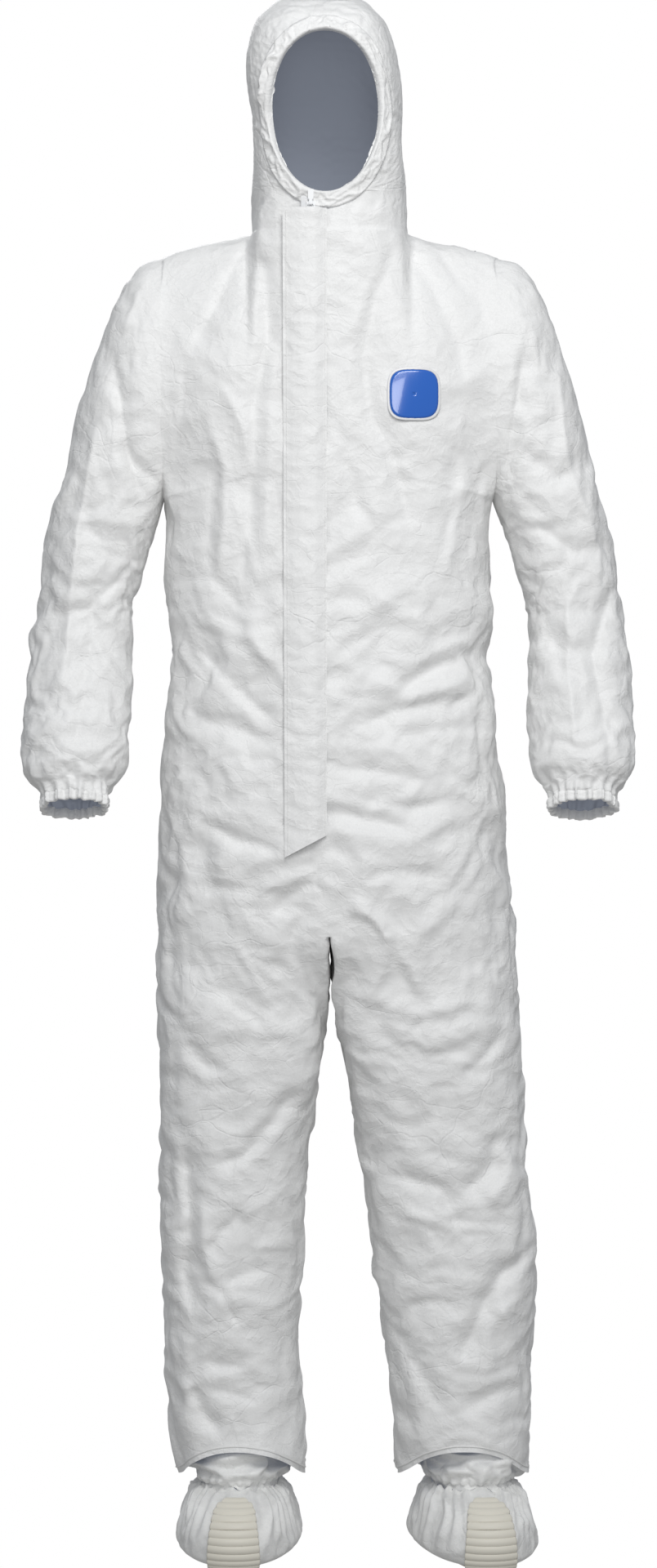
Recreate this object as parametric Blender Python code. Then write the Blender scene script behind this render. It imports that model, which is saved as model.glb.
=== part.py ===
# A hooded one-piece coverall with booties, standing with its arms hanging.
# Metres, +Z up. The front faces -y, and the wearer's left is +x. The origin lies on the
# floor at the middle of the suit's outline. Every fabric piece is a thin closed solid.
import bpy
import math
from mathutils import Vector

for ob in list(bpy.data.objects):
    bpy.data.objects.remove(ob, do_unlink=True)

# ---------------------------------------------------------------- driving sizes
# The working coordinates below are moved this far to reach the suit's own frame.
FRAME = Vector((0.0, 0.0315, 0.0))
FABRIC = 0.0010             # fabric thickness
SEAM = 0.0016               # space between two neighbouring panels
Z_HIP = 0.7365              # hip line
Z_KNEE = 0.480
Z_ELBOW = 1.1180
Z_NECK = 1.5760             # top of the body panels
ARM_X = 0.2025              # first ring of the sleeve
ARM_LOW, ARM_TOP = 1.254, 1.540     # armhole heights
ARM_DEPTH = 0.078           # half depth of the armhole
ZIP_X = -0.022              # centre of the zip
ZIP_GAP = 0.0125            # from the zip's centre to the fabric on either side
SIDES = ((-1, "right"), (1, "left"))        # sign of x and the wearer's side
HALVES = (("front", 0), ("back", 180))      # half of a limb and its first angle

# colours and roughness
WHITE = (0.86, 0.86, 0.85, 1)
CREAM = (0.78, 0.75, 0.66, 1)
ELASTIC = (0.90, 0.90, 0.88, 1)
ZIP_WHITE = (0.80, 0.81, 0.82, 1)
BLUE = (0.02, 0.16, 0.60, 1)
SOLE = (0.74, 0.73, 0.68, 1)
TAPE = (0.83, 0.84, 0.84, 1)
MATT, SATIN, GLOSSY = 0.6, 0.4, 0.25


# ---------------------------------------------------------------- numbers
def interp(table, key):
    """Smooth reading of a table of rows keyed by their first value."""
    if key <= table[0][0]:
        return list(table[0][1:])
    if key >= table[-1][0]:
        return list(table[-1][1:])
    k = 0
    while table[k + 1][0] < key:
        k += 1
    low, high = table[k], table[k + 1]
    before = table[max(k - 1, 0)]
    after = table[min(k + 2, len(table) - 1)]
    step = high[0] - low[0]
    t = (key - low[0]) / step
    values = []
    for j in range(1, len(low)):
        slope_low = (high[j] - before[j]) / (high[0] - before[0]) * step
        slope_high = (after[j] - low[j]) / (after[0] - low[0]) * step
        values.append((2 * t**3 - 3 * t**2 + 1) * low[j] + (t**3 - 2 * t**2 + t) * slope_low
                      + (-2 * t**3 + 3 * t**2) * high[j] + (t**3 - t**2) * slope_high)
    return values


def spread(start, end, steps):
    """Evenly spaced values from start to end, both included."""
    return [start + (end - start) * k / steps for k in range(steps + 1)]


def middle(left, right):
    """Centre and half width of a span."""
    return (left + right) / 2, (right - left) / 2


def signed_power(value, power):
    return math.copysign(abs(value) ** power, value)


def cos_sin(degrees):
    angle = math.radians(degrees)
    return math.cos(angle), math.sin(angle)


# ---------------------------------------------------------------- mesh builders
def make_material(name, rgba, rough):
    material = bpy.data.materials.new(name)
    material.use_nodes = True
    shader = material.node_tree.nodes["Principled BSDF"]
    shader.inputs["Base Color"].default_value = rgba
    shader.inputs["Roughness"].default_value = rough
    material.diffuse_color = rgba
    return material


def emit(name, verts, faces, rgba, origin=(0, 0, 0), rough=MATT):
    """Make an object from working coordinates, with its own material."""
    origin = Vector(origin)
    mesh = bpy.data.meshes.new(name)
    mesh.from_pydata([tuple(Vector(v) - origin) for v in verts], [], faces)
    mesh.update()
    ob = bpy.data.objects.new(name, mesh)
    ob.location = origin + FRAME
    bpy.context.scene.collection.objects.link(ob)
    mesh.materials.append(make_material(name + "_mat", rgba, rough))
    return ob


def grid_normals(grid, wrap):
    rows, cols = len(grid), len(grid[0])
    normals = []
    for i in range(rows):
        line = []
        for j in range(cols):
            if wrap:
                prev, following = grid[i][j - 1], grid[i][(j + 1) % cols]
            else:
                prev, following = grid[i][max(j - 1, 0)], grid[i][min(j + 1, cols - 1)]
            below, above = grid[max(i - 1, 0)][j], grid[min(i + 1, rows - 1)][j]
            line.append((following - prev).cross(above - below).normalized())
        normals.append(line)
    return normals


def sheet(name, grid, rgba, inside, origin=(0, 0, 0), thick=FABRIC, wrap=False,
          lift=0.0, rib=0.0):
    """A closed thin solid from a grid of points of its outer face.

    inside: a point on the inner side, or a function giving one for the middle grid point.
    lift: outward shift of the grid; rib: further shift of every second row.
    """
    grid = [[Vector(p) for p in row] for row in grid]
    rows, cols = len(grid), len(grid[0])
    normals = grid_normals(grid, wrap)
    mid = grid[rows // 2][cols // 2]
    inner_point = Vector(inside(mid) if callable(inside) else inside)
    outward = normals[rows // 2][cols // 2].dot(mid - inner_point) > 0
    sign = 1.0 if outward else -1.0
    outer, inner = [], []
    for i in range(rows):
        for point, normal in zip(grid[i], normals[i]):
            top = point + normal * sign * (lift + rib * (i % 2))
            outer.append(top)
            inner.append(top - normal * sign * thick)
    count = rows * cols
    faces = []
    for i in range(rows - 1):
        for j in range(cols if wrap else cols - 1):
            k = (j + 1) % cols
            a, b, c, d = i * cols + j, i * cols + k, (i + 1) * cols + k, (i + 1) * cols + j
            # both faces are split on the same diagonal, so a twisted quad keeps its thickness
            triangles = [(a, b, c), (a, c, d)] if outward else [(d, c, b), (d, b, a)]
            faces += triangles
            faces += [tuple(v + count for v in t[::-1]) for t in triangles]
    first = list(range(cols))
    last = [(rows - 1) * cols + j for j in first]
    if wrap:
        loops = [first + first[:1], (last + last[:1])[::-1]]
    else:
        right = [i * cols + cols - 1 for i in range(1, rows - 1)]
        left = [i * cols for i in range(rows - 2, -1, -1)]
        loops = [first + right + last[::-1] + left]
    for loop in loops:
        for a, b in zip(loop, loop[1:]):
            face = (b, a, a + count, b + count)
            faces.append(face if outward else face[::-1])
    return emit(name, outer + inner, faces, rgba, origin)


def tube(name, frames, profile, rgba, origin=(0, 0, 0), closed=True, rough=MATT):
    """Sweep a closed profile along frames (point, first axis, second axis)."""
    size, count = len(profile), len(frames)
    verts = []
    for point, axis_a, axis_b in frames:
        for a, b in profile:
            verts.append(Vector(point) + Vector(axis_a) * a + Vector(axis_b) * b)
    point, axis_a, axis_b = frames[0]
    along = Vector(frames[1][0]) - Vector(point)
    area = sum(p[0] * q[1] - q[0] * p[1] for p, q in zip(profile, profile[1:] + profile[:1]))
    outward = Vector(axis_a).cross(Vector(axis_b)).dot(along) * area > 0
    faces = []
    for m in range(count if closed else count - 1):
        n = (m + 1) % count
        for k in range(size):
            l = (k + 1) % size
            face = (m * size + k, m * size + l, n * size + l, n * size + k)
            faces.append(face if outward else face[::-1])
    if not closed:
        start = tuple(range(size))
        end = tuple((count - 1) * size + k for k in range(size))
        faces.append(start[::-1] if outward else start)
        faces.append(end if outward else end[::-1])
    return emit(name, verts, faces, rgba, origin, rough)


def prism(name, verts, rgba, origin=(0, 0, 0), rough=MATT):
    """A convex solid between two rings of equal count, with its faces turned outward."""
    n = len(verts) // 2
    faces = [tuple(range(n)), tuple(range(n, 2 * n))]
    faces += [(k, (k + 1) % n, n + (k + 1) % n, n + k) for k in range(n)]
    centre = sum(verts, Vector()) / len(verts)
    turned = []
    for face in faces:
        a, b, c = (verts[k] for k in face[:3])
        outward = (b - a).cross(c - b).dot(a - centre) > 0
        turned.append(face if outward else face[::-1])
    return emit(name, verts, turned, rgba, origin, rough)


def box(xs, ds, zs, place=lambda x, d, z: Vector((x, d, z))):
    """Corners of a box from three (low, high) pairs, set by place(x, d, z)."""
    (x0, x1), (d0, d1) = xs, ds
    return [place(x, d, z) for z in zs for x, d in ((x0, d0), (x1, d0), (x1, d1), (x0, d1))]


def rectangle(a0, a1, b0, b1):
    return [(a0, b0), (a1, b0), (a1, b1), (a0, b1)]


def join(base, name, verts, origin):
    """Add a hidden helper prism to base with a boolean union."""
    helper = prism(name, verts, ZIP_WHITE, origin)
    helper.hide_render = True
    helper.display_type = "WIRE"
    modifier = base.modifiers.new("join_" + name, "BOOLEAN")
    modifier.operation = "UNION"
    modifier.solver = "EXACT"
    modifier.object = helper


def on_axis(point):
    """Point of the suit's vertical axis at the same height."""
    return (0.0, 0.0, point.z)


# ---------------------------------------------------------------- zip line
# The front line of the trunk is straight, so that the slider can run on it.
LINE_Z, LINE_Y = 0.85, -0.142       # a point of the line
LEAN_Y, LEAN_Z = 0.037, 0.75        # its slope: y gained over z gained
UP = Vector((0, LEAN_Y, LEAN_Z)).normalized()
OUT = Vector((0, -UP.z, UP.y))      # square to the line, out of the front


def zip_y(z):
    return LINE_Y + (z - LINE_Z) * (LEAN_Y / LEAN_Z)


def zip_point(x, out, z):
    """Point beside the zip, from height z on its line and out in front of it."""
    return Vector((x, zip_y(z), z)) + OUT * out


# ---------------------------------------------------------------- trunk
# height, right edge, left edge (the wearer's) of the trunk outline
TRUNK = [(0.700, -0.206, 0.224), (0.721, -0.207, 0.223), (0.765, -0.208, 0.220),
         (0.824, -0.205, 0.213), (0.884, -0.204, 0.210), (0.943, -0.200, 0.204),
         (1.002, -0.195, 0.198), (1.061, -0.192, 0.190), (1.120, -0.196, 0.194),
         (1.179, -0.198, 0.193), (1.256, -0.199, 0.198), (1.300, -0.200, 0.200),
         (1.560, -0.200, 0.200)]
# height, depth of the back
BACK = [(0.700, 0.134), (0.800, 0.141), (0.900, 0.138), (1.000, 0.128),
        (1.100, 0.120), (1.200, 0.121), (1.300, 0.128), (1.400, 0.128),
        (1.500, 0.112), (1.576, 0.090), (1.620, 0.086)]
TRUNK_BASE = Z_HIP + 0.0015
TRUNK_POWER = 2.4           # squareness of the trunk sections
NECK_POWER = 2.8            # squareness of the neck opening
NECK_U = 0.475              # the neck opening's half width, as a share of the trunk's
SHOULDER_Z = 1.38           # the section starts to close above this height
BELLY_TUCK, TUCK_HEIGHT = 0.0055, 0.115     # the front draws in below the zip line's start

# rows of the panels, 0 at the hip and 1 at the shoulder
LEVELS = [0, 0.10, 0.20, 0.31, 0.42, 0.53, 0.635, 0.68, 0.74, 0.80, 0.86, 0.91, 0.95, 0.98, 1.0]
# outer columns of the panels, 0 at the trunk's middle and 1 at its left edge
LEFT_COLS = [0.42, NECK_U, 0.6, 0.76, 0.90, 0.975, 1]
RIGHT_COLS = [-u for u in reversed(LEFT_COLS)]
BACK_COLS = RIGHT_COLS + [-0.24, 0, 0.24] + LEFT_COLS


def arm_half(z):
    """Half depth of the armhole at height z."""
    centre, radius = middle(ARM_LOW, ARM_TOP)
    rise = (z - centre) / radius
    return ARM_DEPTH * math.sqrt(max(0.0, 1 - rise * rise))


def front_depth(z):
    if z < LINE_Z:
        return -LINE_Y - BELLY_TUCK * ((LINE_Z - z) / TUCK_HEIGHT) ** 2
    return -zip_y(z)


def side_z(v):
    """Height of level v at the trunk's sides."""
    return TRUNK_BASE + (ARM_TOP - TRUNK_BASE) * v


def trunk_u(x, z):
    """Share of the trunk's half width at x, for the outline at height z."""
    centre, half = middle(*interp(TRUNK, z))
    return (x - centre) / half


def trunk_point(u, v, side):
    """u runs across from -1 to 1, v from hip line to shoulder; side -1 is the front."""
    outline_z = side_z(v)
    across = abs(u)
    in_neck = across < NECK_U
    top_z = Z_NECK
    if not in_neck:
        top_z += (ARM_TOP - Z_NECK) * (across - NECK_U) / (1 - NECK_U)
    z = TRUNK_BASE + (top_z - TRUNK_BASE) * v
    centre, half = middle(*interp(TRUNK, outline_z))
    depth = front_depth(z) if side < 0 else interp(BACK, z)[0]
    arm = arm_half(outline_z) / depth
    body = arm + (1 - arm) * (1 - across**TRUNK_POWER) ** (1 / TRUNK_POWER)
    neck = (1 - (across / NECK_U) ** NECK_POWER) ** (1 / NECK_POWER) if in_neck else 0.0
    closing = min(1.0, max(0.0, (z - SHOULDER_Z) / (top_z - SHOULDER_Z)))
    keep = math.sqrt(1 - closing * closing)
    share = neck + (body - neck) * keep
    if not in_neck:
        share += arm * (1 - keep) * across**6
    return (centre + u * half, side * max(depth * share, SEAM / 2), z)


def trunk_front(x, z):
    """Point of the front panel at a given x and z, away from the shoulders."""
    v = (z - TRUNK_BASE) / (Z_NECK - TRUNK_BASE)
    return trunk_point(trunk_u(x, z), v, -1)


def trunk_panels():
    right, left = [], []
    for v in LEVELS:
        right_edge = trunk_u(ZIP_X - ZIP_GAP, side_z(v))
        left_edge = trunk_u(ZIP_X + ZIP_GAP, side_z(v))
        right.append([trunk_point(u, v, -1) for u in RIGHT_COLS + [-0.28, right_edge]])
        left.append([trunk_point(u, v, -1) for u in [left_edge, 0.14, 0.29] + LEFT_COLS])
    sheet("front_panel_right", right, WHITE, on_axis)
    sheet("front_panel_left", left, WHITE, on_axis)
    back = [[trunk_point(u, v, 1) for u in BACK_COLS] for v in LEVELS]
    sheet("back_panel", back, WHITE, on_axis)


# ---------------------------------------------------------------- collar and hood
# height, right edge, left edge, front depth, back depth
HOOD = [(1.570, -0.095, 0.095, 0.1052, 0.0890), (1.600, -0.095, 0.094, 0.1034, 0.0870),
        (1.622, -0.095, 0.091, 0.1080, 0.0900), (1.652, -0.092, 0.090, 0.1150, 0.1000),
        (1.681, -0.091, 0.088, 0.1200, 0.1110), (1.711, -0.093, 0.087, 0.1230, 0.1200),
        (1.740, -0.096, 0.085, 0.1225, 0.1250), (1.770, -0.097, 0.083, 0.1195, 0.1250),
        (1.800, -0.095, 0.079, 0.1120, 0.1170), (1.829, -0.086, 0.068, 0.0950, 0.0980),
        (1.844, -0.072, 0.053, 0.0770, 0.0790), (1.854, -0.055, 0.036, 0.0540, 0.0560),
        (1.8600, -0.026, 0.010, 0.0180, 0.0180)]
HOOD_POWER = 2.6                    # squareness of the hood sections
HOOD_ORIGIN = (0.0, 0.0900, 1.6005)
HOOD_INSIDE = (0, 0, 1.70)
CUT_GAP = 0.0012                    # from the cut line to the fabric above and below
FACE_X, FACE_Z = -0.005, 1.7240     # centre of the face opening
FACE_W, FACE_UP, FACE_DOWN = 0.066, 0.096, 0.100    # its half sizes
COLLAR_BASE = Z_NECK + 0.0018
COLLAR_END_Z = 1.59                 # the collar's ends are set at this height

SIDE_LOW, SIDE_HIGH = 1.6105, 1.8520    # heights of the side panels
SIDE_LEVELS = [0.0, 0.055, 0.11, 0.20, 0.32, 0.45, 0.58, 0.70, 0.80, 0.87, 0.92, 0.955, 0.976]
SIDE_BLEND = 0.3                    # share of the levels that bend down to the cut line
CHIN_Y = -0.106                     # the cut line's height at the face edge is read here
SIDE_FACE_GROW = 0.0075             # fabric edges stay this far outside the face opening
SIDE_STRIP = 0.046                  # half width left free for the centre panel
CENTRE_FACE_GROW = 0.007
CENTRE_HALF = 0.0445                # half width of the centre panel
RAY_Z = 1.72                        # centre of the rays that trace the centre panel
NAPE_Y, NAPE_ANGLE = 0.088, -48.0   # lower end of the centre panel


def hood_point(x, z, side):
    """y of the hood at x and z; side -1 is the front."""
    left, right, front, back = interp(HOOD, z)
    centre, half = middle(left, right)
    share = min(1.0, abs((x - centre) / half))
    depth = (1 - share**HOOD_POWER) ** (1 / HOOD_POWER)
    return -front * depth if side < 0 else back * depth


def hood_loop(angle, z):
    """x and y at an angle: 0 at +x, 90 at the front, 180 at -x, 270 at the back."""
    left, right, front, back = interp(HOOD, z)
    centre, half = middle(left, right)
    c, s = cos_sin(angle % 360)
    x = centre + half * signed_power(c, 2 / HOOD_POWER)
    return x, -(front if s > 0 else back) * signed_power(s, 2 / HOOD_POWER)


def hood_angle(x, z, front=True):
    """Angle of hood_loop at which the section at height z reaches x."""
    centre, half = middle(*interp(HOOD, z)[:2])
    share = max(-1, min(1, (x - centre) / half))
    angle = math.degrees(math.acos(signed_power(share, HOOD_POWER / 2)))
    return angle if front else 360 - angle


def cut_z(y):
    """The hood's cut line, higher at the chin than at the nape."""
    return 1.6090 - 0.0900 * y


def collar():
    start = hood_angle(ZIP_X - ZIP_GAP, COLLAR_END_Z)
    end = 360 + hood_angle(ZIP_X + ZIP_GAP, COLLAR_END_Z)
    rows = []
    for t in (0.0, 1.0):
        row = []
        for angle in spread(start, end, 32):
            y = hood_loop(angle, COLLAR_END_Z)[1]
            z = COLLAR_BASE + (cut_z(y) - CUT_GAP - COLLAR_BASE) * t
            row.append((*hood_loop(angle, z), z))
        rows.append(row)
    sheet("collar", rows, WHITE, on_axis)


def face_half(z, grow):
    """Half width of the face opening at height z, grown all round."""
    rise = (z - FACE_Z) / ((FACE_UP if z > FACE_Z else FACE_DOWN) + grow)
    return (FACE_W + grow) * math.sqrt(max(0.0, 1 - rise * rise))


def hood_side(s, tag):
    """Side panel, from the face opening round to the centre panel."""
    rows = []
    for t in SIDE_LEVELS:
        base_z = SIDE_LOW + (SIDE_HIGH - SIDE_LOW) * t / SIDE_LEVELS[-1]
        bend = max(0.0, 1 - t / SIDE_BLEND) ** 2
        face_z = base_z + (cut_z(CHIN_Y) + CUT_GAP - SIDE_LOW) * bend
        least = SIDE_STRIP if base_z > FACE_Z else SEAM / 2
        from_middle = max(face_half(face_z, SIDE_FACE_GROW), least)
        start = hood_angle(FACE_X + s * from_middle, face_z)
        end = hood_angle(FACE_X + s * SIDE_STRIP, base_z, front=False)
        if s > 0:
            end -= 360
        row = []
        for angle in spread(start, end, 12):
            y = hood_loop(angle, base_z)[1]
            z = base_z + (cut_z(y) + CUT_GAP - SIDE_LOW) * bend
            row.append((*hood_loop(angle, z), z))
        rows.append(row)
    sheet("hood_side_" + tag, rows, WHITE, HOOD_INSIDE, HOOD_ORIGIN)


def in_hood(x, y, z):
    if z >= HOOD[-1][0]:
        return False
    left, right, front, back = interp(HOOD, z)
    centre, half = middle(left, right)
    depth = back if y > 0 else front
    return abs((x - centre) / half) ** HOOD_POWER + abs(y / depth) ** HOOD_POWER < 1


def hood_ray(x, angle):
    """Where a ray from (x, 0, RAY_Z) leaves the hood; angle 0 is back, 90 is up."""
    c, s = cos_sin(angle)
    near, far = 0.0, 0.2
    for _ in range(40):
        reach = (near + far) / 2
        if in_hood(x, reach * c, RAY_Z + reach * s):
            near = reach
        else:
            far = reach
    return (x, near * c, RAY_Z + near * s)


def hood_centre():
    """Centre panel, from the nape over the crown to the face opening."""
    xs = spread(FACE_X - CENTRE_HALF, FACE_X + CENTRE_HALF, 4)
    nape_z = cut_z(NAPE_Y) + CUT_GAP
    rows = [[(x, hood_point(x, nape_z, 1), nape_z) for x in xs]]
    for k in range(1, 17):
        row = []
        for x in xs:
            # the front edge follows the face opening
            share = abs(x - FACE_X) / (FACE_W + CENTRE_FACE_GROW)
            edge_z = FACE_Z + (FACE_UP + CENTRE_FACE_GROW) * math.sqrt(1 - share * share)
            edge_y = hood_point(x, min(edge_z, 1.8595), -1)
            end = math.degrees(math.atan2(edge_z - RAY_Z, edge_y))
            row.append(hood_ray(x, NAPE_ANGLE + (end - NAPE_ANGLE) * k / 16))
        rows.append(row)
    sheet("hood_centre_panel", rows, WHITE, HOOD_INSIDE, HOOD_ORIGIN)


# (away from the opening, back) sections round the face opening
FACE_CHANNEL = [(0.0, 0.0), (0.0055, 0.0), (0.0055, 0.0042), (0.0047, 0.0042),
                (0.0047, 0.0009), (0.0009, 0.0009), (0.0009, 0.0042), (0.0, 0.0042)]
FACE_BAND = rectangle(0.0014, 0.0042, 0.0014, 0.0032)


def face_edge():
    """Hem channel round the face opening, and the elastic inside it."""
    frames = []
    for k in range(36):
        c, s = cos_sin(360 * k / 36)
        height = FACE_UP if s > 0 else FACE_DOWN
        x, z = FACE_X + FACE_W * c, FACE_Z + height * s
        away = Vector((c / FACE_W, 0, s / height)).normalized()
        frames.append(((x, hood_point(x, z, -1), z), away, (0, 1, 0)))
    tube("face_hem", frames, FACE_CHANNEL, WHITE, HOOD_ORIGIN)
    tube("face_elastic", frames, FACE_BAND, ELASTIC, HOOD_ORIGIN)


# ---------------------------------------------------------------- zip
TAPE_LOW, TAPE_TOP = 0.860, 1.6120
SLIDER_Z = 1.5990                   # middle of the slider at rest
SLIDER_ORIGIN = zip_point(ZIP_X, 0, SLIDER_Z)
PLATE_X, PLATE_Z = 0.0050, 0.0060   # half width and half height of the slider's plates
PLATE_IN, PLATE_OUT = 0.0014, 0.0026    # its plates' faces, from the zip line
PIN = zip_point(ZIP_X, 0.0048, SLIDER_Z + 0.0030)
PIN_HALF, PIN_R = 0.0030, 0.0006
EYE_HALF, EYE_IN, EYE_OUT = 0.0021, 0.0010, 0.0018     # half width and radii
NECK_HALF, NECK_THICK = 0.0020, 0.0006      # half sizes of the puller's neck
TAB_HALF, TAB_THICK = 0.0033, NECK_THICK + 0.0001
TAB_LENGTH = 0.0175                 # from the pin to the tab's end


def zip_box(xs, outs, zs):
    """Box on the zip line, with x measured from the zip's centre."""
    return box(xs, outs, zs, lambda x, out, z: zip_point(ZIP_X + x, out, z))


def pin_box(half, thick, ups):
    """Box centred on the pin in x and depth; ups runs along the zip line."""
    return box((-half, half), (-thick, thick), ups,
               lambda x, out, up: PIN + Vector((x, 0, 0)) + OUT * out + UP * up)


def zip_tape(s, tag):
    """Flat tape with a thick bead on the edge next to the other tape."""
    inner, outer = ZIP_X + s * 0.0018, ZIP_X + s * 0.0115
    bead = inner + s * 0.0017
    flat_half, bead_half = 0.0003, 0.0009
    section = [(outer, -flat_half), (outer, flat_half), (bead, flat_half), (bead, bead_half),
               (inner, bead_half), (inner, -bead_half), (bead, -bead_half), (bead, -flat_half)]
    frames = [((0, zip_y(z), z), (1, 0, 0), OUT) for z in spread(TAPE_LOW, TAPE_TOP, 6)]
    tube("zip_tape_" + tag, frames, section, ZIP_WHITE, closed=False)


def zip_stops():
    bottom = zip_box((-0.0042, 0.0042), (0.0012, 0.0026), (0.861, 0.865))
    prism("zip_bottom_stop", bottom, ZIP_WHITE)
    for s, tag in SIDES:
        top = zip_box((s * 0.0020, s * 0.0038), (0.0012, 0.0022), (TAPE_TOP - 0.0012, TAPE_TOP))
        prism("zip_top_stop_" + tag, top, ZIP_WHITE)


def zip_slider():
    """Front and back plates joined by a web, with two cheeks that hold the pin."""
    xs, zs = (-PLATE_X, PLATE_X), (SLIDER_Z - PLATE_Z, SLIDER_Z + PLATE_Z)
    slider = prism("zip_slider", zip_box(xs, (PLATE_IN, PLATE_OUT), zs), ZIP_WHITE,
                   SLIDER_ORIGIN, SATIN)
    join(slider, "slider_back_plate", zip_box(xs, (-PLATE_OUT, -PLATE_IN), zs), SLIDER_ORIGIN)
    web = zip_box((-0.0007, 0.0007), (-0.0020, 0.0020), (SLIDER_Z - 0.0045, SLIDER_Z + 0.0055))
    join(slider, "slider_web", web, SLIDER_ORIGIN)
    for s, tag in SIDES:
        cheek = zip_box((s * 0.0026, s * 0.0036), (0.0020, 0.0058),
                        (SLIDER_Z + 0.0016, SLIDER_Z + 0.0044))
        join(slider, "slider_cheek_" + tag, cheek, SLIDER_ORIGIN)
    pin = []
    for x in (-PIN_HALF, PIN_HALF):
        for k in range(12):
            c, s = cos_sin(360 * k / 12)
            pin.append(PIN + Vector((x, PIN_R * c, PIN_R * s)))
    join(slider, "slider_pin", pin, SLIDER_ORIGIN)


def zip_puller():
    """A flat tab with an eye round the pin, standing up at rest."""
    frames = []
    for k in range(12):
        c, s = cos_sin(90 + 360 * (k + 0.5) / 12)
        away = OUT * c + UP * s
        frames.append((PIN + away * EYE_IN, (1, 0, 0), away))
    section = rectangle(-EYE_HALF, EYE_HALF, 0.0, EYE_OUT - EYE_IN)
    puller = tube("zip_puller", frames, section, ZIP_WHITE, PIN, rough=SATIN)
    join(puller, "puller_neck", pin_box(NECK_HALF, NECK_THICK, (0.0014, 0.0060)), PIN)
    join(puller, "puller_tab", pin_box(TAB_HALF, TAB_THICK, (0.0055, TAB_LENGTH)), PIN)


# ---------------------------------------------------------------- storm flap
FLAP_TOP, FLAP_LOW = 1.5975, 0.8300
FLAP_X = -0.003                     # hinge line
FLAP_SLANT = 0.026                  # rise of the lower end from free edge to hinge
FLAP_WIDEN = 0.06                   # the flap is this share wider at the top
FLAP_ORIGIN = (FLAP_X, zip_y(1.2) - 0.0022, 1.2)
# x from the hinge, distance in front of the zip line
FLAP = [(0.0000, 0.0022), (-0.0035, 0.0040), (-0.0080, 0.0068), (-0.0120, 0.0090),
        (-0.0160, 0.0098), (-0.0220, 0.0100), (-0.0300, 0.0092), (-0.0380, 0.0072),
        (-0.0440, 0.0048), (-0.0495, 0.0030)]
# the same two columns, for the adhesive strip on the flap's inner face
ADHESIVE = [(-0.0445, 0.0024), (-0.0400, 0.0041), (-0.0402, 0.0045), (-0.0447, 0.0028)]


def storm_flap():
    rows = []
    for t in spread(0, 1, 4):
        row = []
        for x, out in FLAP:
            low = FLAP_LOW + FLAP_SLANT * (1 - x / FLAP[-1][0])
            z = low + (FLAP_TOP - low) * t
            row.append(zip_point(FLAP_X + x * (1 + FLAP_WIDEN * t), out, z))
        rows.append(row)
    sheet("storm_flap", rows, WHITE, lambda p: (p.x, 0, p.z), FLAP_ORIGIN, thick=0.0012)


def flap_adhesive():
    frames = []
    for z in spread(0.866, 1.585, 4):
        widen = 1 + FLAP_WIDEN * (z - 0.84) / 0.76
        frames.append(((FLAP_X, zip_y(z), z), (widen, 0, 0), OUT))
    tube("flap_adhesive_strip", frames, ADHESIVE, TAPE, FLAP_ORIGIN, closed=False)


# ---------------------------------------------------------------- label, gusset, waist, neck
LABEL_X, LABEL_Z, LABEL_HALF = 0.100, 1.377, 0.031
LABEL_LIFT, LABEL_THICK = 0.0004, 0.0004
GUSSET_FRONT, GUSSET_BACK, GUSSET_REACH = -0.1290, 0.1270, 0.13
WAIST_THICK = 0.0012
NECK_TAPE_HALF, NECK_TAPE_THICK, NECK_TAPE_TOP = 0.030, 0.0012, 1.5975


def front_normal(x, z):
    """Outward normal of the front panel."""
    e = 0.004
    across = Vector(trunk_front(x + e, z)) - Vector(trunk_front(x - e, z))
    rise = Vector(trunk_front(x, z + e)) - Vector(trunk_front(x, z - e))
    return across.cross(rise).normalized()


def chest_label():
    """A rounded square on the left of the chest: a centre point and two rings."""
    count = 20
    points = [Vector(trunk_front(LABEL_X, LABEL_Z))]
    for share in (0.5, 1.0):
        half = LABEL_HALF * share
        for k in range(count):
            c, s = cos_sin(360 * k / count)
            points.append(Vector(trunk_front(LABEL_X + half * signed_power(c, 0.55),
                                             LABEL_Z + half * signed_power(s, 0.55))))
    outer, inner = [], []
    for point in points:
        normal = front_normal(point.x, point.z)
        outer.append(point + normal * (LABEL_LIFT + LABEL_THICK))
        inner.append(point + normal * LABEL_LIFT)
    total = len(points)
    front, edge = [], []
    for k in range(count):
        a, b = 1 + k, 1 + (k + 1) % count
        c, d = b + count, a + count
        front += [(0, a, b), (a, d, c, b)]
        edge.append((d + total, c + total, c, d))
    back = [tuple(v + total for v in face[::-1]) for face in front]
    emit("chest_label", outer + inner, front + back + edge, BLUE, rough=GLOSSY)


def crotch_gusset():
    rows = []
    for y in spread(GUSSET_FRONT, GUSSET_BACK, 8):
        z = Z_HIP + 0.0042 + 0.010 * (1 - (y / GUSSET_REACH) ** 2)
        half = 0.010 + 0.016 * (1 - abs(y) / GUSSET_REACH)
        rows.append([(x, y, z) for x in spread(-half, half, 4)])
    sheet("crotch_gusset", rows, WHITE, lambda p: (p.x, p.y, p.z + 0.1))


def waist_elastic():
    """Band between two rows of the back panel, so that it lies flat on the inner face."""
    low, high = [[Vector(trunk_point(u, v, 1)) for u in BACK_COLS[1:-1]] for v in LEVELS[3:5]]
    rows = [[p.lerp(q, t) for p, q in zip(low, high)] for t in (0.52, 0.80)]
    sheet("waist_elastic", rows, ELASTIC, on_axis, thick=WAIST_THICK,
          lift=-(FABRIC + WAIST_THICK))


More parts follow.
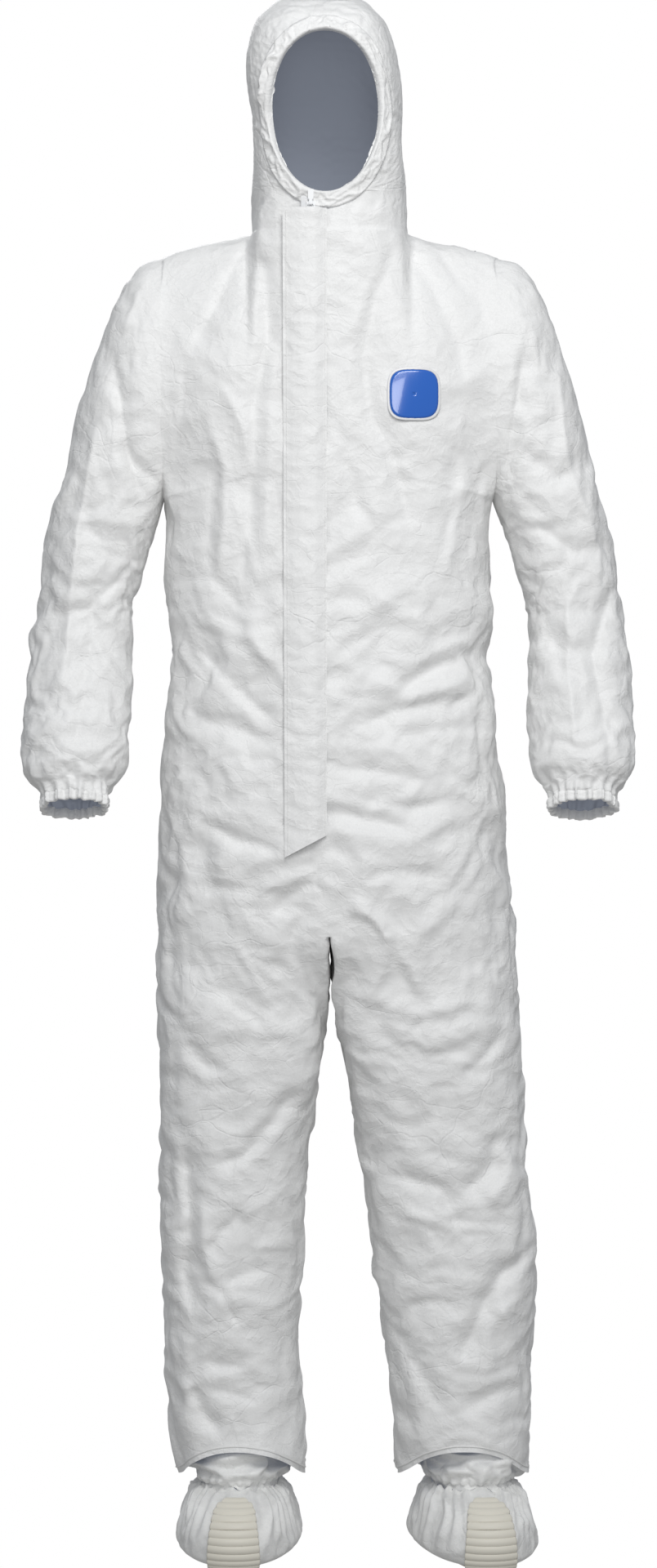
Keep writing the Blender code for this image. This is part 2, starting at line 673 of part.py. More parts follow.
def neck_tape():
    """A flat doubled tape at the nape; its middle is the hanging point."""
    back = max(hood_point(x, z, 1) for x in (-0.02, -0.0007, 0.02)
               for z in (1.5795, NECK_TAPE_TOP))
    y = back + 0.0006
    prism("neck_tape", box((-NECK_TAPE_HALF, NECK_TAPE_HALF), (y, y + NECK_TAPE_THICK),
                           (1.5800, NECK_TAPE_TOP)), TAPE)


# ---------------------------------------------------------------- sleeves
# rings: outer x, outer z, inner x, inner z, half depth, centre y, tilt in degrees
UPPER = [(ARM_X, ARM_TOP, ARM_X, ARM_LOW, ARM_DEPTH, 0.000, 0),
         (0.228, 1.534, 0.2045, 1.240, 0.079, 0.000, 0),
         (0.252, 1.504, 0.2070, 1.228, 0.079, 0.000, 0),
         (0.275, 1.445, 0.2110, 1.215, 0.078, 0.000, 0),
         (0.299, 1.372, 0.2160, 1.200, 0.076, 0.000, 0),
         (0.317, 1.297, 0.2220, 1.180, 0.073, -0.001, 0),
         (0.333, 1.238, 0.2280, 1.158, 0.070, -0.002, 0),
         (0.345, 1.175, 0.2340, 1.137, 0.068, -0.003, 0),
         (0.352, 1.120, 0.2370, 1.120, 0.066, -0.004, 0)]
LOWER = [(0.3525, 1.1160, 0.2370, 1.1160, 0.066, -0.004, 0),
         (0.362, 1.060, 0.2380, 1.060, 0.066, -0.018, 4),
         (0.366, 1.000, 0.2390, 1.000, 0.066, -0.036, 9),
         (0.366, 0.950, 0.2415, 0.950, 0.062, -0.055, 14),
         (0.358, 0.927, 0.2490, 0.927, 0.055, -0.066, 18),
         (0.347, 0.913, 0.2590, 0.913, 0.047, -0.073, 20)]
CUFF = (0.3420, 0.9020, 0.2620, 0.9020, 0.040, -0.078, 20)
# (inward, down the sleeve) sections of the cuff
CUFF_CHANNEL = [(0.0, 0.0), (0.0046, 0.0), (0.0046, 0.0008), (0.0009, 0.0008),
                (0.0009, 0.0102), (0.0046, 0.0102), (0.0046, 0.0110), (0.0, 0.0110)]
CUFF_BAND = rectangle(0.0014, 0.0026, 0.0016, 0.0094)


def ring_centre(ring, s):
    outer_x, outer_z, inner_x, inner_z, _, y, _ = ring
    return Vector((s * (outer_x + inner_x) / 2, y, (outer_z + inner_z) / 2))


def ring_point(ring, angle, s):
    """Point of a sleeve ring; angle 0 is outer, 90 front, 180 inner."""
    outer_x, outer_z, inner_x, inner_z, depth, _, tilt = ring
    across = Vector((s * (outer_x - inner_x) / 2, 0, (outer_z - inner_z) / 2))
    tilt_cos, tilt_sin = cos_sin(tilt)
    forward = Vector((0, -depth * tilt_cos, depth * tilt_sin))
    c, s_angle = cos_sin(angle)
    return ring_centre(ring, s) + across * c + forward * s_angle


def refine(rings, steps):
    """Smoothly read a table of rings again at evenly spaced steps."""
    keyed = [(k, *ring) for k, ring in enumerate(rings)]
    return [interp(keyed, k * (len(rings) - 1) / steps) for k in range(steps + 1)]


def sleeve_half(rings, s, start):
    """Rows over half of each ring, from the angle start, short of the seams."""
    rows = []
    for ring in rings:
        gap = math.degrees(SEAM / 2 / ring[4])
        angles = spread(start + gap, start + 180 - gap, 8)
        rows.append([ring_point(ring, angle, s) for angle in angles])
    return rows


def cuff(s, tag, origin):
    """Hem channel at the wrist, and the elastic inside it."""
    centre = ring_centre(CUFF, s)
    tilt_cos, tilt_sin = cos_sin(CUFF[-1])
    down = Vector((0, -tilt_sin, -tilt_cos))
    frames = []
    for k in range(24):
        point = ring_point(CUFF, 360 * k / 24, s)
        frames.append((point, (centre - point).normalized(), down))
    tube("cuff_hem_" + tag, frames, CUFF_CHANNEL, WHITE, origin)
    tube("cuff_elastic_" + tag, frames, CUFF_BAND, ELASTIC, origin)


def sleeve(s, tag):
    shoulder = (s * ARM_X, 0.0, ARM_TOP)
    elbow = (s * 0.2945, -0.0705, Z_ELBOW)
    upper, lower = refine(UPPER, 9), refine(LOWER, 6)
    for part, start in HALVES:
        sheet(f"sleeve_upper_{part}_{tag}", sleeve_half(upper, s, start), WHITE,
              ring_centre(upper[5], s), shoulder)
    for part, start in HALVES:
        sheet(f"sleeve_lower_{part}_{tag}", sleeve_half(lower, s, start), WHITE,
              lambda p: (s * 0.303, -0.04, p.z), elbow)
    cuff(s, tag, elbow)


# ---------------------------------------------------------------- legs
# height, low-x edge, high-x edge
LEG_R = [(0.070, -0.182, -0.030), (0.092, -0.182, -0.029), (0.115, -0.188, -0.028),
         (0.145, -0.194, -0.030), (0.184, -0.196, -0.034), (0.233, -0.200, -0.038),
         (0.293, -0.199, -0.036), (0.352, -0.201, -0.032), (0.411, -0.203, -0.028),
         (0.470, -0.203, -0.024), (0.529, -0.203, -0.017), (0.588, -0.204, -0.010),
         (0.647, -0.206, -0.004), (0.716, -0.206, -0.002), (0.760, -0.207, -0.002)]
LEG_L = [(0.070, 0.084, 0.240), (0.115, 0.081, 0.240), (0.145, 0.079, 0.241),
         (0.184, 0.074, 0.243), (0.233, 0.069, 0.243), (0.293, 0.060, 0.247),
         (0.352, 0.051, 0.249), (0.411, 0.044, 0.243), (0.470, 0.036, 0.236),
         (0.529, 0.027, 0.233), (0.588, 0.017, 0.231), (0.647, 0.007, 0.227),
         (0.716, 0.002, 0.224), (0.760, 0.002, 0.222)]
# height, half depth, centre in y
LEG_DEPTH = [(0.070, 0.094, 0.010), (0.120, 0.096, 0.010), (0.200, 0.100, 0.008),
             (0.300, 0.100, 0.004), (0.410, 0.101, 0.001), (0.480, 0.103, 0.000),
             (0.550, 0.109, 0.000), (0.650, 0.122, 0.000), (0.735, 0.1365, 0.000),
             (0.760, 0.1370, 0.000)]
LEG_POWER = 2.3             # squareness of the leg sections
CROTCH_SQUARE = 2.4         # added on the inner side, growing up the thigh
HEM_Z, HEM_TOP = 0.084, 0.160       # the trouser hem, and where its rise fades out
HEM_FRONT, HEM_BACK = 0.038, 0.018  # rise of the hem over the foot and the heel
THIGH_LEVELS = [Z_KNEE + 0.0018, 0.530, 0.580, 0.630, 0.675, 0.710, Z_HIP - 0.0020]
SHIN_LEVELS = [HEM_Z, 0.122, HEM_TOP, 0.220, 0.290, 0.350, 0.415, Z_KNEE - 0.0018]


def leg_point(table, angle, z, s):
    """Point of a leg section; angle 0 is outer, 90 front, 180 inner."""
    centre, half = middle(*interp(table, z))
    depth, centre_y = interp(LEG_DEPTH, z)
    c, q = cos_sin(angle)
    power = LEG_POWER
    if c <= 0:
        power += CROTCH_SQUARE * min(1.0, max(0.0, (z - 0.52) / 0.20))
    x = centre + s * half * signed_power(c, 2 / power)
    return (x, centre_y - depth * signed_power(q, 2 / power), z)


def leg_half(table, levels, s, start):
    """Rows over half of the leg, from the angle start, short of the seams."""
    rows = []
    for z in levels:
        gap = math.degrees(SEAM / 2 / interp(LEG_DEPTH, z)[0]) * 0.9
        fade = max(0.0, (HEM_TOP - z) / (HEM_TOP - HEM_Z))
        row = []
        for angle in spread(start + gap, start + 180 - gap, 9):
            q = cos_sin(angle)[1]
            rise = (HEM_FRONT if q > 0 else HEM_BACK) * q * q
            row.append(leg_point(table, angle, z + rise * fade, s))
        rows.append(row)
    return rows


def leg(s, tag, table, knee_x):
    hip = (0.106 * s, -0.1385, Z_HIP)
    knee = (knee_x, 0.1045, Z_KNEE)
    for name, levels, origin, mid_z in (("thigh", THIGH_LEVELS, hip, 0.6),
                                        ("shin", SHIN_LEVELS, knee, 0.3)):
        inside = (middle(*interp(table, mid_z))[0], 0, mid_z)
        for part, start in HALVES:
            rows = leg_half(table, levels, s, start)
            sheet(f"{name}_{part}_{tag}", rows, WHITE, inside, origin)


# ---------------------------------------------------------------- booties
FOOT_Y = 0.010              # ankle axis
# height, length forward, length back, half width
FOOT = [(0.0046, 0.150, 0.050, 0.026), (0.0048, 0.196, 0.080, 0.058),
        (0.0068, 0.204, 0.088, 0.070), (0.014, 0.209, 0.092, 0.075),
        (0.030, 0.212, 0.094, 0.072), (0.046, 0.206, 0.092, 0.067),
        (0.060, 0.186, 0.086, 0.062), (0.068, 0.150, 0.080, 0.058),
        (0.0725, 0.112, 0.071, 0.053), (0.0755, 0.088, 0.063, 0.048)]
GAITER = [(0.0800, 0.086, 0.063, 0.049), (0.0850, 0.091, 0.069, 0.055),
          (0.0960, 0.094, 0.073, 0.058), (0.1100, 0.089, 0.072, 0.057),
          (0.1280, 0.076, 0.068, 0.054), (0.1450, 0.068, 0.064, 0.051),
          (0.1620, 0.064, 0.061, 0.049)]
ANKLE_Z = 0.0778
ANKLE_BAND = rectangle(0.0012, 0.0024, -0.0050, 0.0050)     # (inward, up) section
SOLE_THICK = 0.0036
# rows of the toe patch, counted in rows of FOOT
TOE_ROWS = [2.0, 2.5, 3.0, 3.33, 3.67, 4.0, 4.33, 4.67, 5.0, 5.33, 5.67, 6.0, 6.5, 7.0, 7.3]
TOE_COLUMN = 6              # the loop point at the very front of the foot


def foot_place(foot_x, toe_turn):
    """Placing of foot coordinates: x toward the wearer's left, y forward.

    A positive toe_turn, in degrees, turns the toes toward the wearer's left.
    """
    c, s = cos_sin(toe_turn)

    def place(x, y, z):
        return Vector((foot_x + c * x + s * y, FOOT_Y + s * x - c * y, z))
    return place


def foot_loop(place, row, power=2.3):
    z, front, back, half = row
    loop = []
    for k in range(24):
        c, s = cos_sin(360 * k / 24)
        y = (front if s > 0 else back) * signed_power(s, 2 / power)
        loop.append(place(half * signed_power(c, 2 / power), y, z))
    return loop


def ankle_elastic(tag, place, origin):
    centre = Vector((origin[0], FOOT_Y, ANKLE_Z))
    frames = []
    for k in range(24):
        c, s = cos_sin(360 * k / 24)
        point = place(0.0462 * c, (0.0845 if s > 0 else 0.0600) * s, ANKLE_Z)
        frames.append((point, (centre - point).normalized(), (0, 0, 1)))
    tube("ankle_elastic_" + tag, frames, ANKLE_BAND, ELASTIC, origin)


def sole(tag, place, origin):
    """A flat plate on the floor."""
    verts = []
    for z in (0.0, SOLE_THICK):
        for k in range(28):
            c, s = cos_sin(360 * (k + 0.5) / 28)
            half, length = (0.044, 0.196) if s > 0 else (0.037, 0.078)
            verts.append(place(half * signed_power(c, 2 / 2.6),
                               length * signed_power(s, 2 / 2.4), z))
    prism("sole_" + tag, verts, SOLE, origin)


def toe_patch(tag, loops, origin):
    """Ribbed strip turned up over the toe, on the foot's own facets."""
    def on_foot(row, column):
        i, j = int(row), int(column)
        low = loops[i][j].lerp(loops[i][j + 1], column - j)
        high = loops[i + 1][j].lerp(loops[i + 1][j + 1], column - j)
        return low.lerp(high, row - i)

    rows = []
    for row in TOE_ROWS:
        edge = 1.22 if row < 6.6 else (1.1 if row < 7.2 else 0.8)
        inner = 1.0 if edge > 1 else 0.6
        rows.append([on_foot(row, TOE_COLUMN + q) for q in (-edge, -inner, 0.0, inner, edge)])
    sheet("toe_patch_" + tag, rows, CREAM, (origin[0], -0.05, 0.03), origin,
          thick=0.0009, lift=0.0016, rib=0.0008)


def bootie(tag, foot_x, toe_turn):
    origin = (foot_x, FOOT_Y, 0.100)
    place = foot_place(foot_x, toe_turn)
    foot = [foot_loop(place, row) for row in FOOT]
    gaiter = [foot_loop(place, row, power=2.0) for row in GAITER]
    sheet("bootie_foot_" + tag, foot, WHITE, (foot_x, -0.05, 0.04), origin, wrap=True)
    sheet("bootie_gaiter_" + tag, gaiter, WHITE, (foot_x, 0, 0.12), origin, wrap=True)
    ankle_elastic(tag, place, origin)
    sole(tag, place, origin)
    toe_patch(tag, foot, origin)


# ---------------------------------------------------------------- build
trunk_panels()
collar()
for side, side_name in SIDES:
    hood_side(side, side_name)
hood_centre()
face_edge()
for side, side_name in SIDES:
    zip_tape(side, side_name)
zip_stops()
zip_slider()
zip_puller()
storm_flap()
flap_adhesive()
chest_label()
crotch_gusset()
waist_elastic()
neck_tape()
for side, side_name in SIDES:
    sleeve(side, side_name)
leg(-1, "right", LEG_R, knee_x=-0.114)
bootie("right", foot_x=-0.108, toe_turn=-1.0)
leg(1, "left", LEG_L, knee_x=0.137)
bootie("left", foot_x=0.170, toe_turn=5.0)
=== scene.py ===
# A white hooded film coverall with overshoes, arms hanging, built round its CAD solids.
# Metres, +Z up. The front faces -Y, the wearer's right is -X and the left is +X.
import bpy, math
import numpy as np
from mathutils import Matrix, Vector


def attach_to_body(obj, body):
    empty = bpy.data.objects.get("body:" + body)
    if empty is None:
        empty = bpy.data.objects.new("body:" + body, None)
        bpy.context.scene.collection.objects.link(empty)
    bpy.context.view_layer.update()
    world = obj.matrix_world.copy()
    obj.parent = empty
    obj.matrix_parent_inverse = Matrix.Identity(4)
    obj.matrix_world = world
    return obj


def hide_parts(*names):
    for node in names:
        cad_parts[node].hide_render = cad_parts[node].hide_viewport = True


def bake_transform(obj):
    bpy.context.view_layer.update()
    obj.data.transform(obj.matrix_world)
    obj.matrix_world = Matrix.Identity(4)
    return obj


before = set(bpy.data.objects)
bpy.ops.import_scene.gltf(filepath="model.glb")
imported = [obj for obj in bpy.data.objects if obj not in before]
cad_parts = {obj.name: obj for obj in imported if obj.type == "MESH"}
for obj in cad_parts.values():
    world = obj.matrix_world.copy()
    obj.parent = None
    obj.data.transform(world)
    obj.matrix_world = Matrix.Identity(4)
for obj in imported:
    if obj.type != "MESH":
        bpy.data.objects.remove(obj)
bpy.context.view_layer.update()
ITERATIONS = 130      # cloth solver passes
GRID_SHARE = 1.0    # share of the full grid resolution
MM = 0.001
FRAME_Y = 0.0315      # the tables' y = 0 plane lies this far behind the part's origin
RIGHT, LEFT = -1, 1   # a side is also the sign of its x
FRONT, BACK = -1, 1   # and of its y
TAG = {RIGHT: "right", LEFT: "left"}

# =====================================================================
#  Driving dimensions
# =====================================================================
Z_HIP, Z_KNEE, Z_ELBOW, Z_NECK = 0.7365, 0.480, 1.1180, 1.5760
Z_ARMPIT, Z_SHOULDER = 1.254, 1.540
ARMHOLE_HALF_DEPTH = 0.078
NECK_EDGE = 0.475          # share of the half width where the neck meets the shoulder seam
ZIP_X, ZIP_HALF_GAP = -0.022, 0.0125
FACE_X, FACE_Z = -0.005, 1.7165       # centre of the face opening
FACE_HALF_WIDTH, FACE_UP, FACE_DOWN = 0.0670, 0.0940, 0.0995
LABEL_X, LABEL_Z = 0.100, 1.377
TRUNK_CENTRE = (0, 0, 1.15)
HOOD_CENTRE = (-0.003, 0.0, 1.72)

# z, x of the right side, x of the left side
TRUNK = np.array([
    (0.700, -0.206, 0.224), (0.721, -0.207, 0.223), (0.765, -0.208, 0.220),
    (0.824, -0.205, 0.213), (0.884, -0.204, 0.210), (0.943, -0.200, 0.204),
    (1.002, -0.195, 0.198), (1.031, -0.191, 0.194), (1.061, -0.191, 0.189),
    (1.090, -0.189, 0.191), (1.120, -0.196, 0.195), (1.179, -0.198, 0.192),
    (1.228, -0.195, 0.192), (1.256, -0.199, 0.198), (1.300, -0.200, 0.200),
    (1.560, -0.200, 0.200)])
# z, depth of the back
BACK_DEPTH = np.array([
    (0.700, 0.134), (0.800, 0.141), (0.900, 0.138), (1.000, 0.128), (1.100, 0.120),
    (1.200, 0.121), (1.300, 0.128), (1.400, 0.128), (1.500, 0.112), (1.576, 0.090),
    (1.620, 0.086)])
# z, lower x, upper x of each leg
LEG_WIDTH = {
    RIGHT: np.array([
        (0.070, -0.182, -0.030), (0.092, -0.182, -0.029), (0.115, -0.188, -0.028),
        (0.145, -0.194, -0.030), (0.184, -0.196, -0.034), (0.233, -0.200, -0.038),
        (0.293, -0.199, -0.036), (0.352, -0.201, -0.032), (0.411, -0.203, -0.028),
        (0.470, -0.203, -0.024), (0.529, -0.203, -0.017), (0.588, -0.204, -0.010),
        (0.647, -0.206, -0.004), (0.700, -0.206, -0.0014), (0.716, -0.206, -0.0005),
        (0.760, -0.207, -0.0005)]),
    LEFT: np.array([
        (0.070, 0.084, 0.240), (0.115, 0.081, 0.240), (0.145, 0.079, 0.241),
        (0.184, 0.074, 0.243), (0.233, 0.069, 0.243), (0.293, 0.060, 0.247),
        (0.352, 0.051, 0.249), (0.411, 0.044, 0.243), (0.470, 0.036, 0.236),
        (0.529, 0.027, 0.233), (0.588, 0.017, 0.231), (0.647, 0.007, 0.227),
        (0.700, 0.0024, 0.225), (0.716, 0.0005, 0.224), (0.760, 0.0005, 0.222)])}
# z, half depth, y of the centre
LEG_DEPTH = np.array([
    (0.070, 0.094, 0.010), (0.120, 0.096, 0.010), (0.200, 0.100, 0.008),
    (0.300, 0.100, 0.004), (0.410, 0.101, 0.001), (0.480, 0.103, 0.000),
    (0.550, 0.109, 0.000), (0.650, 0.122, 0.000), (0.735, 0.1365, 0.000),
    (0.760, 0.1370, 0.000)])
# z, x of the right side, x of the left side, depth in front, depth behind
HOOD = np.array([
    (1.560, -0.095, 0.096, 0.1065, 0.0900), (1.570, -0.095, 0.095, 0.1058, 0.0890),
    (1.600, -0.095, 0.094, 0.1044, 0.0870), (1.622, -0.095, 0.091, 0.1070, 0.0900),
    (1.652, -0.092, 0.090, 0.1150, 0.1000), (1.681, -0.090, 0.088, 0.1200, 0.1110),
    (1.711, -0.092, 0.087, 0.1230, 0.1200), (1.740, -0.097, 0.085, 0.1225, 0.1250),
    (1.770, -0.099, 0.083, 0.1195, 0.1250), (1.800, -0.097, 0.079, 0.1120, 0.1170),
    (1.829, -0.088, 0.067, 0.0950, 0.0980), (1.844, -0.072, 0.051, 0.0770, 0.0790),
    (1.854, -0.055, 0.036, 0.0540, 0.0560), (1.8590, -0.026, 0.010, 0.0180, 0.0180)])
# sleeve rings: outer x, outer z, inner x, inner z, half depth, y of the centre, tilt in degrees
UPPER_SLEEVE = np.array([
    (0.2000, 1.540, 0.2000, 1.254, 0.078, 0.000, 0), (0.228, 1.534, 0.2040, 1.240, 0.079, 0.000, 0),
    (0.252, 1.504, 0.2070, 1.228, 0.079, 0.000, 0), (0.275, 1.445, 0.2110, 1.215, 0.078, 0.000, 0),
    (0.299, 1.372, 0.2160, 1.200, 0.076, 0.000, 0), (0.317, 1.297, 0.2220, 1.180, 0.073, -0.001, 0),
    (0.333, 1.238, 0.2280, 1.158, 0.070, -0.002, 0),
    (0.345, 1.175, 0.2340, 1.137, 0.068, -0.003, 0),
    (0.352, 1.118, 0.2370, 1.118, 0.066, -0.004, 0)])
WRIST_TILT = 20
LOWER_SLEEVE = np.array([
    (0.352, 1.118, 0.2370, 1.118, 0.066, -0.004, 0),
    (0.362, 1.060, 0.2380, 1.060, 0.066, -0.018, 4),
    (0.366, 1.000, 0.2390, 1.000, 0.066, -0.036, 9),
    (0.367, 0.955, 0.2405, 0.955, 0.063, -0.054, 14),
    (0.363, 0.930, 0.2450, 0.930, 0.057, -0.065, 18),
    (0.350, 0.914, 0.2560, 0.914, 0.048, -0.0725, WRIST_TILT),
    (0.3440, 0.9060, 0.2610, 0.9060, 0.0415, -0.0765, WRIST_TILT),
    (0.3420, 0.8960, 0.2620, 0.8960, 0.040, -0.0800, WRIST_TILT)])
# overshoe rings: z, reach to the toe, reach to the heel, half width
FOOT = np.array([
    (0.0046, 0.150, 0.050, 0.026), (0.0048, 0.196, 0.080, 0.058), (0.0068, 0.204, 0.088, 0.070),
    (0.014, 0.209, 0.092, 0.075), (0.030, 0.212, 0.094, 0.072), (0.046, 0.206, 0.092, 0.067),
    (0.060, 0.186, 0.086, 0.062), (0.068, 0.150, 0.080, 0.058), (0.0725, 0.112, 0.071, 0.053),
    (0.0755, 0.088, 0.063, 0.048)])
GAITER = np.array([
    (0.0778, 0.086, 0.061, 0.0470), (0.0850, 0.091, 0.069, 0.055), (0.0960, 0.094, 0.073, 0.058),
    (0.1100, 0.089, 0.072, 0.057), (0.1280, 0.076, 0.068, 0.054), (0.1450, 0.068, 0.064, 0.051),
    (0.1620, 0.064, 0.061, 0.049)])

# Folds, in millimetres: half width, height (negative is a valley), then the
# x, z pairs of the fold's line in the front view.
TRUNK_FOLDS = [
    (13, -9, -76.83, 1568.12, -72.89, 1449.92, -89.1425, 1361.27, -92.59, 1267.695,
     -103.9175, 1139.645),
    (11, 5, -64.5175, 1449.92, -71.905, 1361.27, -71.905, 1267.695, -79.2925, 1159.345),
    (14, -8, -96.53, 1568.12, -138.3925, 1474.545, -170.405, 1420.37),
    (9, -4, -81.755, 1558.27, -70.92, 1444.995, -47.28, 1420.37),
    (14, -10, 88.1575, 1568.12, 53.6825, 1499.17, 40.385, 1425.295, 48.7575, 1351.42,
     75.845, 1297.245, 89.635, 1218.445),
    (12, 4, 68.4575, 1543.495, 26.595, 1454.845, 19.2075, 1376.045),
    (12, -7, 120.17, 1568.12, 154.645, 1513.945, 203.895, 1459.77),
    (12, -8, 95.545, 1553.345, 125.095, 1499.17, 154.645, 1435.145, 160.555, 1376.045),
    (10, 8, 154.645, 1366.195, 160.555, 1277.545, 147.2575, 1198.745, 132.975, 1144.57),
    (10, -7, 169.42, 1307.095, 174.345, 1247.995, 162.0325, 1169.195),
    (9, 9, -146.765, 1356.345, -126.08, 1292.32, -126.08, 1228.295, -133.4675, 1149.495),
    (12, -6, -135.93, 1297.245, -140.855, 1228.295, -145.78, 1159.345),
    (8, 6, -131.005, 1390.82, -101.455, 1336.645, -90.62, 1272.62),
    (8, 5, -113.7675, 1257.845, -96.53, 1198.745, -84.2175, 1149.495),
    (12, -6, -71.905, 1297.245, -49.7425, 1179.045),
    (12, -6, -16.745, 1307.095, -25.1175, 1188.895),
    (10, -6, 11.82, 1316.945, 31.52, 1247.995, 58.6075, 1206.1325),
    (8, -5, 65.995, 1316.945, 85.695, 1267.695, 95.545, 1211.0575),
    (8, 3, -185.18, 1341.57, -133.4675, 1356.345),
    (12, -7, -172.8675, 1425.295, -172.8675, 1366.195, -189.12, 1297.245),
    (13, -10, -190.105, 1097.7825, -140.855, 1060.845, -96.53, 1016.52, -59.5925, 984.5075),
    (10, 6, -170.405, 1115.02, -96.53, 1087.9325, -59.5925, 1050.995),
    (9, -6, -195.03, 1154.42, -140.855, 1161.8075, -106.38, 1129.795),
    (13, -8, -189.12, 1021.445, -155.63, 994.3575, -62.055, 962.345),
    (11, -13, 191.5825, 1078.0825, 154.645, 1065.77, 115.245, 1048.5325, 75.845, 1021.445),
    (12, 8, 191.5825, 1092.8575, 144.795, 1080.545, 95.545, 1055.92),
    (12, -9, 179.27, 1021.445, 95.545, 1006.67, 56.145, 994.3575, 26.595, 979.5825),
    (12, 6, 174.345, 1041.145, 125.095, 1026.37, 85.695, 1011.595),
    (14, 5, 46.295, 1144.57, 115.245, 1100.245, 184.195, 1139.645),
    (10, -4, 1.97, 1060.845, 36.445, 1085.47, 75.845, 1110.095),
    (10, -6, 85.695, 974.6575, 154.645, 982.045, 194.045, 974.6575),
    (9, -5, -101.455, 940.1825, -59.5925, 945.1075),
    (10, -5, 16.745, 935.2575, 75.845, 926.885, 125.095, 918.02),
    (9, -6, 31.52, 898.32, 95.545, 887.485, 139.87, 893.395),
    (9, -6, -0.4925, 883.545, 46.295, 873.695, 95.545, 861.3825),
    (9, -8, -145.78, 868.77, -111.305, 849.07, -54.6675, 835.7725),
    (10, 4, -180.255, 898.32, -131.005, 873.695, -91.605, 863.845),
    (7, 7, -85.695, 789.97, -52.205, 802.2825, -12.805, 813.1175),
    (7, -6, -71.905, 760.42, -47.28, 782.5825, -12.805, 808.685),
    (9, -7, -66.98, 765.345, -42.355, 770.27, -15.2675, 762.8825),
    (8, 8, 19.2075, 774.21, 51.22, 756.48, 71.905, 725.945),
    (10, -4, 36.445, 804.745, 85.695, 814.595, 134.945, 804.745),
    (10, -4, -190.105, 804.745, -150.705, 789.97, -106.38, 794.895),
]
LEG_FOLDS = [
    (8, 8, 21.67, 785.045, 56.145, 755.495, 95.545, 691.47, 111.305, 656.995),
    (8, -6, 36.445, 765.345, 75.845, 721.02, 100.47, 661.92),
    (8, 4, 6.895, 671.77, 56.145, 660.935, 105.395, 641.235, 174.345, 660.935),
    (11, -7, 208.82, 676.695, 199.955, 607.745, 154.645, 565.8825),
    (10, -8, 206.3575, 592.97, 232.46, 541.2575),
    (14, -12, 196.5075, 504.32, 192.075, 459.995, 154.645, 427.9825),
    (14, 9, 226.0575, 489.545, 206.3575, 435.37, 181.7325, 418.1325),
    (12, -8, 65.995, 452.6075, 134.945, 434.385, 157.1075, 381.195),
    (10, 5, 70.92, 408.2825, 120.17, 400.895, 164.495, 410.745),
    (13, -13, 250.6825, 354.1075, 208.82, 336.87, 184.195, 299.9325, 169.42, 262.995,
     153.66, 226.0575),
    (12, 8, 250.6825, 329.4825, 223.595, 302.395, 198.97, 277.77),
    (9, -9, 69.935, 275.3075, 105.395, 218.67, 135.93, 166.9575),
    (8, 7, 93.0825, 228.52, 101.455, 184.195, 109.335, 125.095),
    (5, -2.5, 75.845, 326.035, 159.57, 324.065),
    (11, -6, 154.645, 169.42, 198.97, 189.12, 243.295, 194.045),
    (12, -7, 223.595, 253.145, 238.37, 208.82, 226.0575, 144.795),
    (10, -5, -138.3925, 681.62, -111.305, 651.085, -71.905, 627.445),
    (10, -6, -172.8675, 612.67, -145.78, 582.135, -118.6925, 577.21),
    (12, -9, -16.745, 553.57, -49.7425, 541.2575, -101.455, 472.3075, -141.84, 463.935),
    (12, 5, -32.505, 528.945, -76.83, 484.62, -121.155, 450.145),
    (9, -6, -30.0425, 765.345, -54.6675, 716.095, -71.905, 689.0075),
    (13, -13, -172.8675, 499.395, -164.495, 400.895, -171.39, 331.945, -158.0925, 267.92),
    (11, 9, -155.63, 430.445, -147.75, 351.645, -118.6925, 277.77),
    (8, -7, -145.78, 329.4825, -126.08, 307.32, -108.8425, 270.3825),
    (9, -5, -126.08, 319.6325, -101.455, 331.945, -69.4425, 341.795),
    (8, -5, -150.705, 228.52, -126.08, 221.1325, -98.9925, 224.58),
    (8, -5, -145.78, 194.045, -121.155, 191.5825, -84.2175, 181.7325),
    (12, -12, -166.465, 201.4325, -145.78, 159.57, -127.065, 142.3325),
    (10, 7, -174.345, 208.82, -173.36, 147.2575),
    (11, -6, -59.5925, 267.92, -54.6675, 179.27),
    (9, 4, -96.53, 366.42, -37.43, 365.435),
    (9, -5, -101.455, 410.745, -131.005, 381.195, -145.78, 356.57),
    (9, 5, -175.33, 104.41, -96.53, 122.6325, -34.9675, 109.335),
]
SLEEVE_FOLDS = [
    (10, 5, -249.205, 1444.995, -227.535, 1504.095, -209.805, 1533.645),
    (11, -7, -259.055, 1435.145, -239.355, 1307.095, -214.73, 1228.295),
    (9, -5, -249.205, 1326.795, -234.43, 1297.245, -195.03, 1267.695),
    (9, 6, -318.155, 1011.595, -308.305, 1129.795, -298.455, 1228.295, -273.83, 1366.195),
    (10, -5, -342.78, 1110.095, -288.605, 1121.915, -239.355, 1169.195),
    (10, 4, -335.885, 1050.995, -298.455, 1021.445, -249.205, 1070.695),
    (10, -5, -278.755, 1169.195, -286.635, 1070.695, -302.395, 942.645),
    (11, -7, 233.445, 1444.995, 218.67, 1346.495, 205.865, 1267.695),
    (10, 6, 272.845, 1435.145, 282.695, 1307.095, 331.945, 1169.195),
    (10, -6, 233.445, 1307.095, 272.845, 1277.545, 317.17, 1307.095),
    (10, -5, 243.295, 1228.295, 292.545, 1188.895, 341.795, 1198.745),
    (10, -7, 343.765, 1169.195, 312.245, 1070.695, 331.945, 942.645),
    (10, 5, 282.695, 1149.495, 282.695, 1050.995, 292.545, 942.645),
    (9, -5, 253.145, 1090.395, 292.545, 1070.695, 351.645, 1080.545),
]


# =====================================================================
#  Small mathematics
# =====================================================================
def count(full):
    """Even number of grid lines for the current resolution."""
    number = int(full * GRID_SHARE)
    return number + number % 2


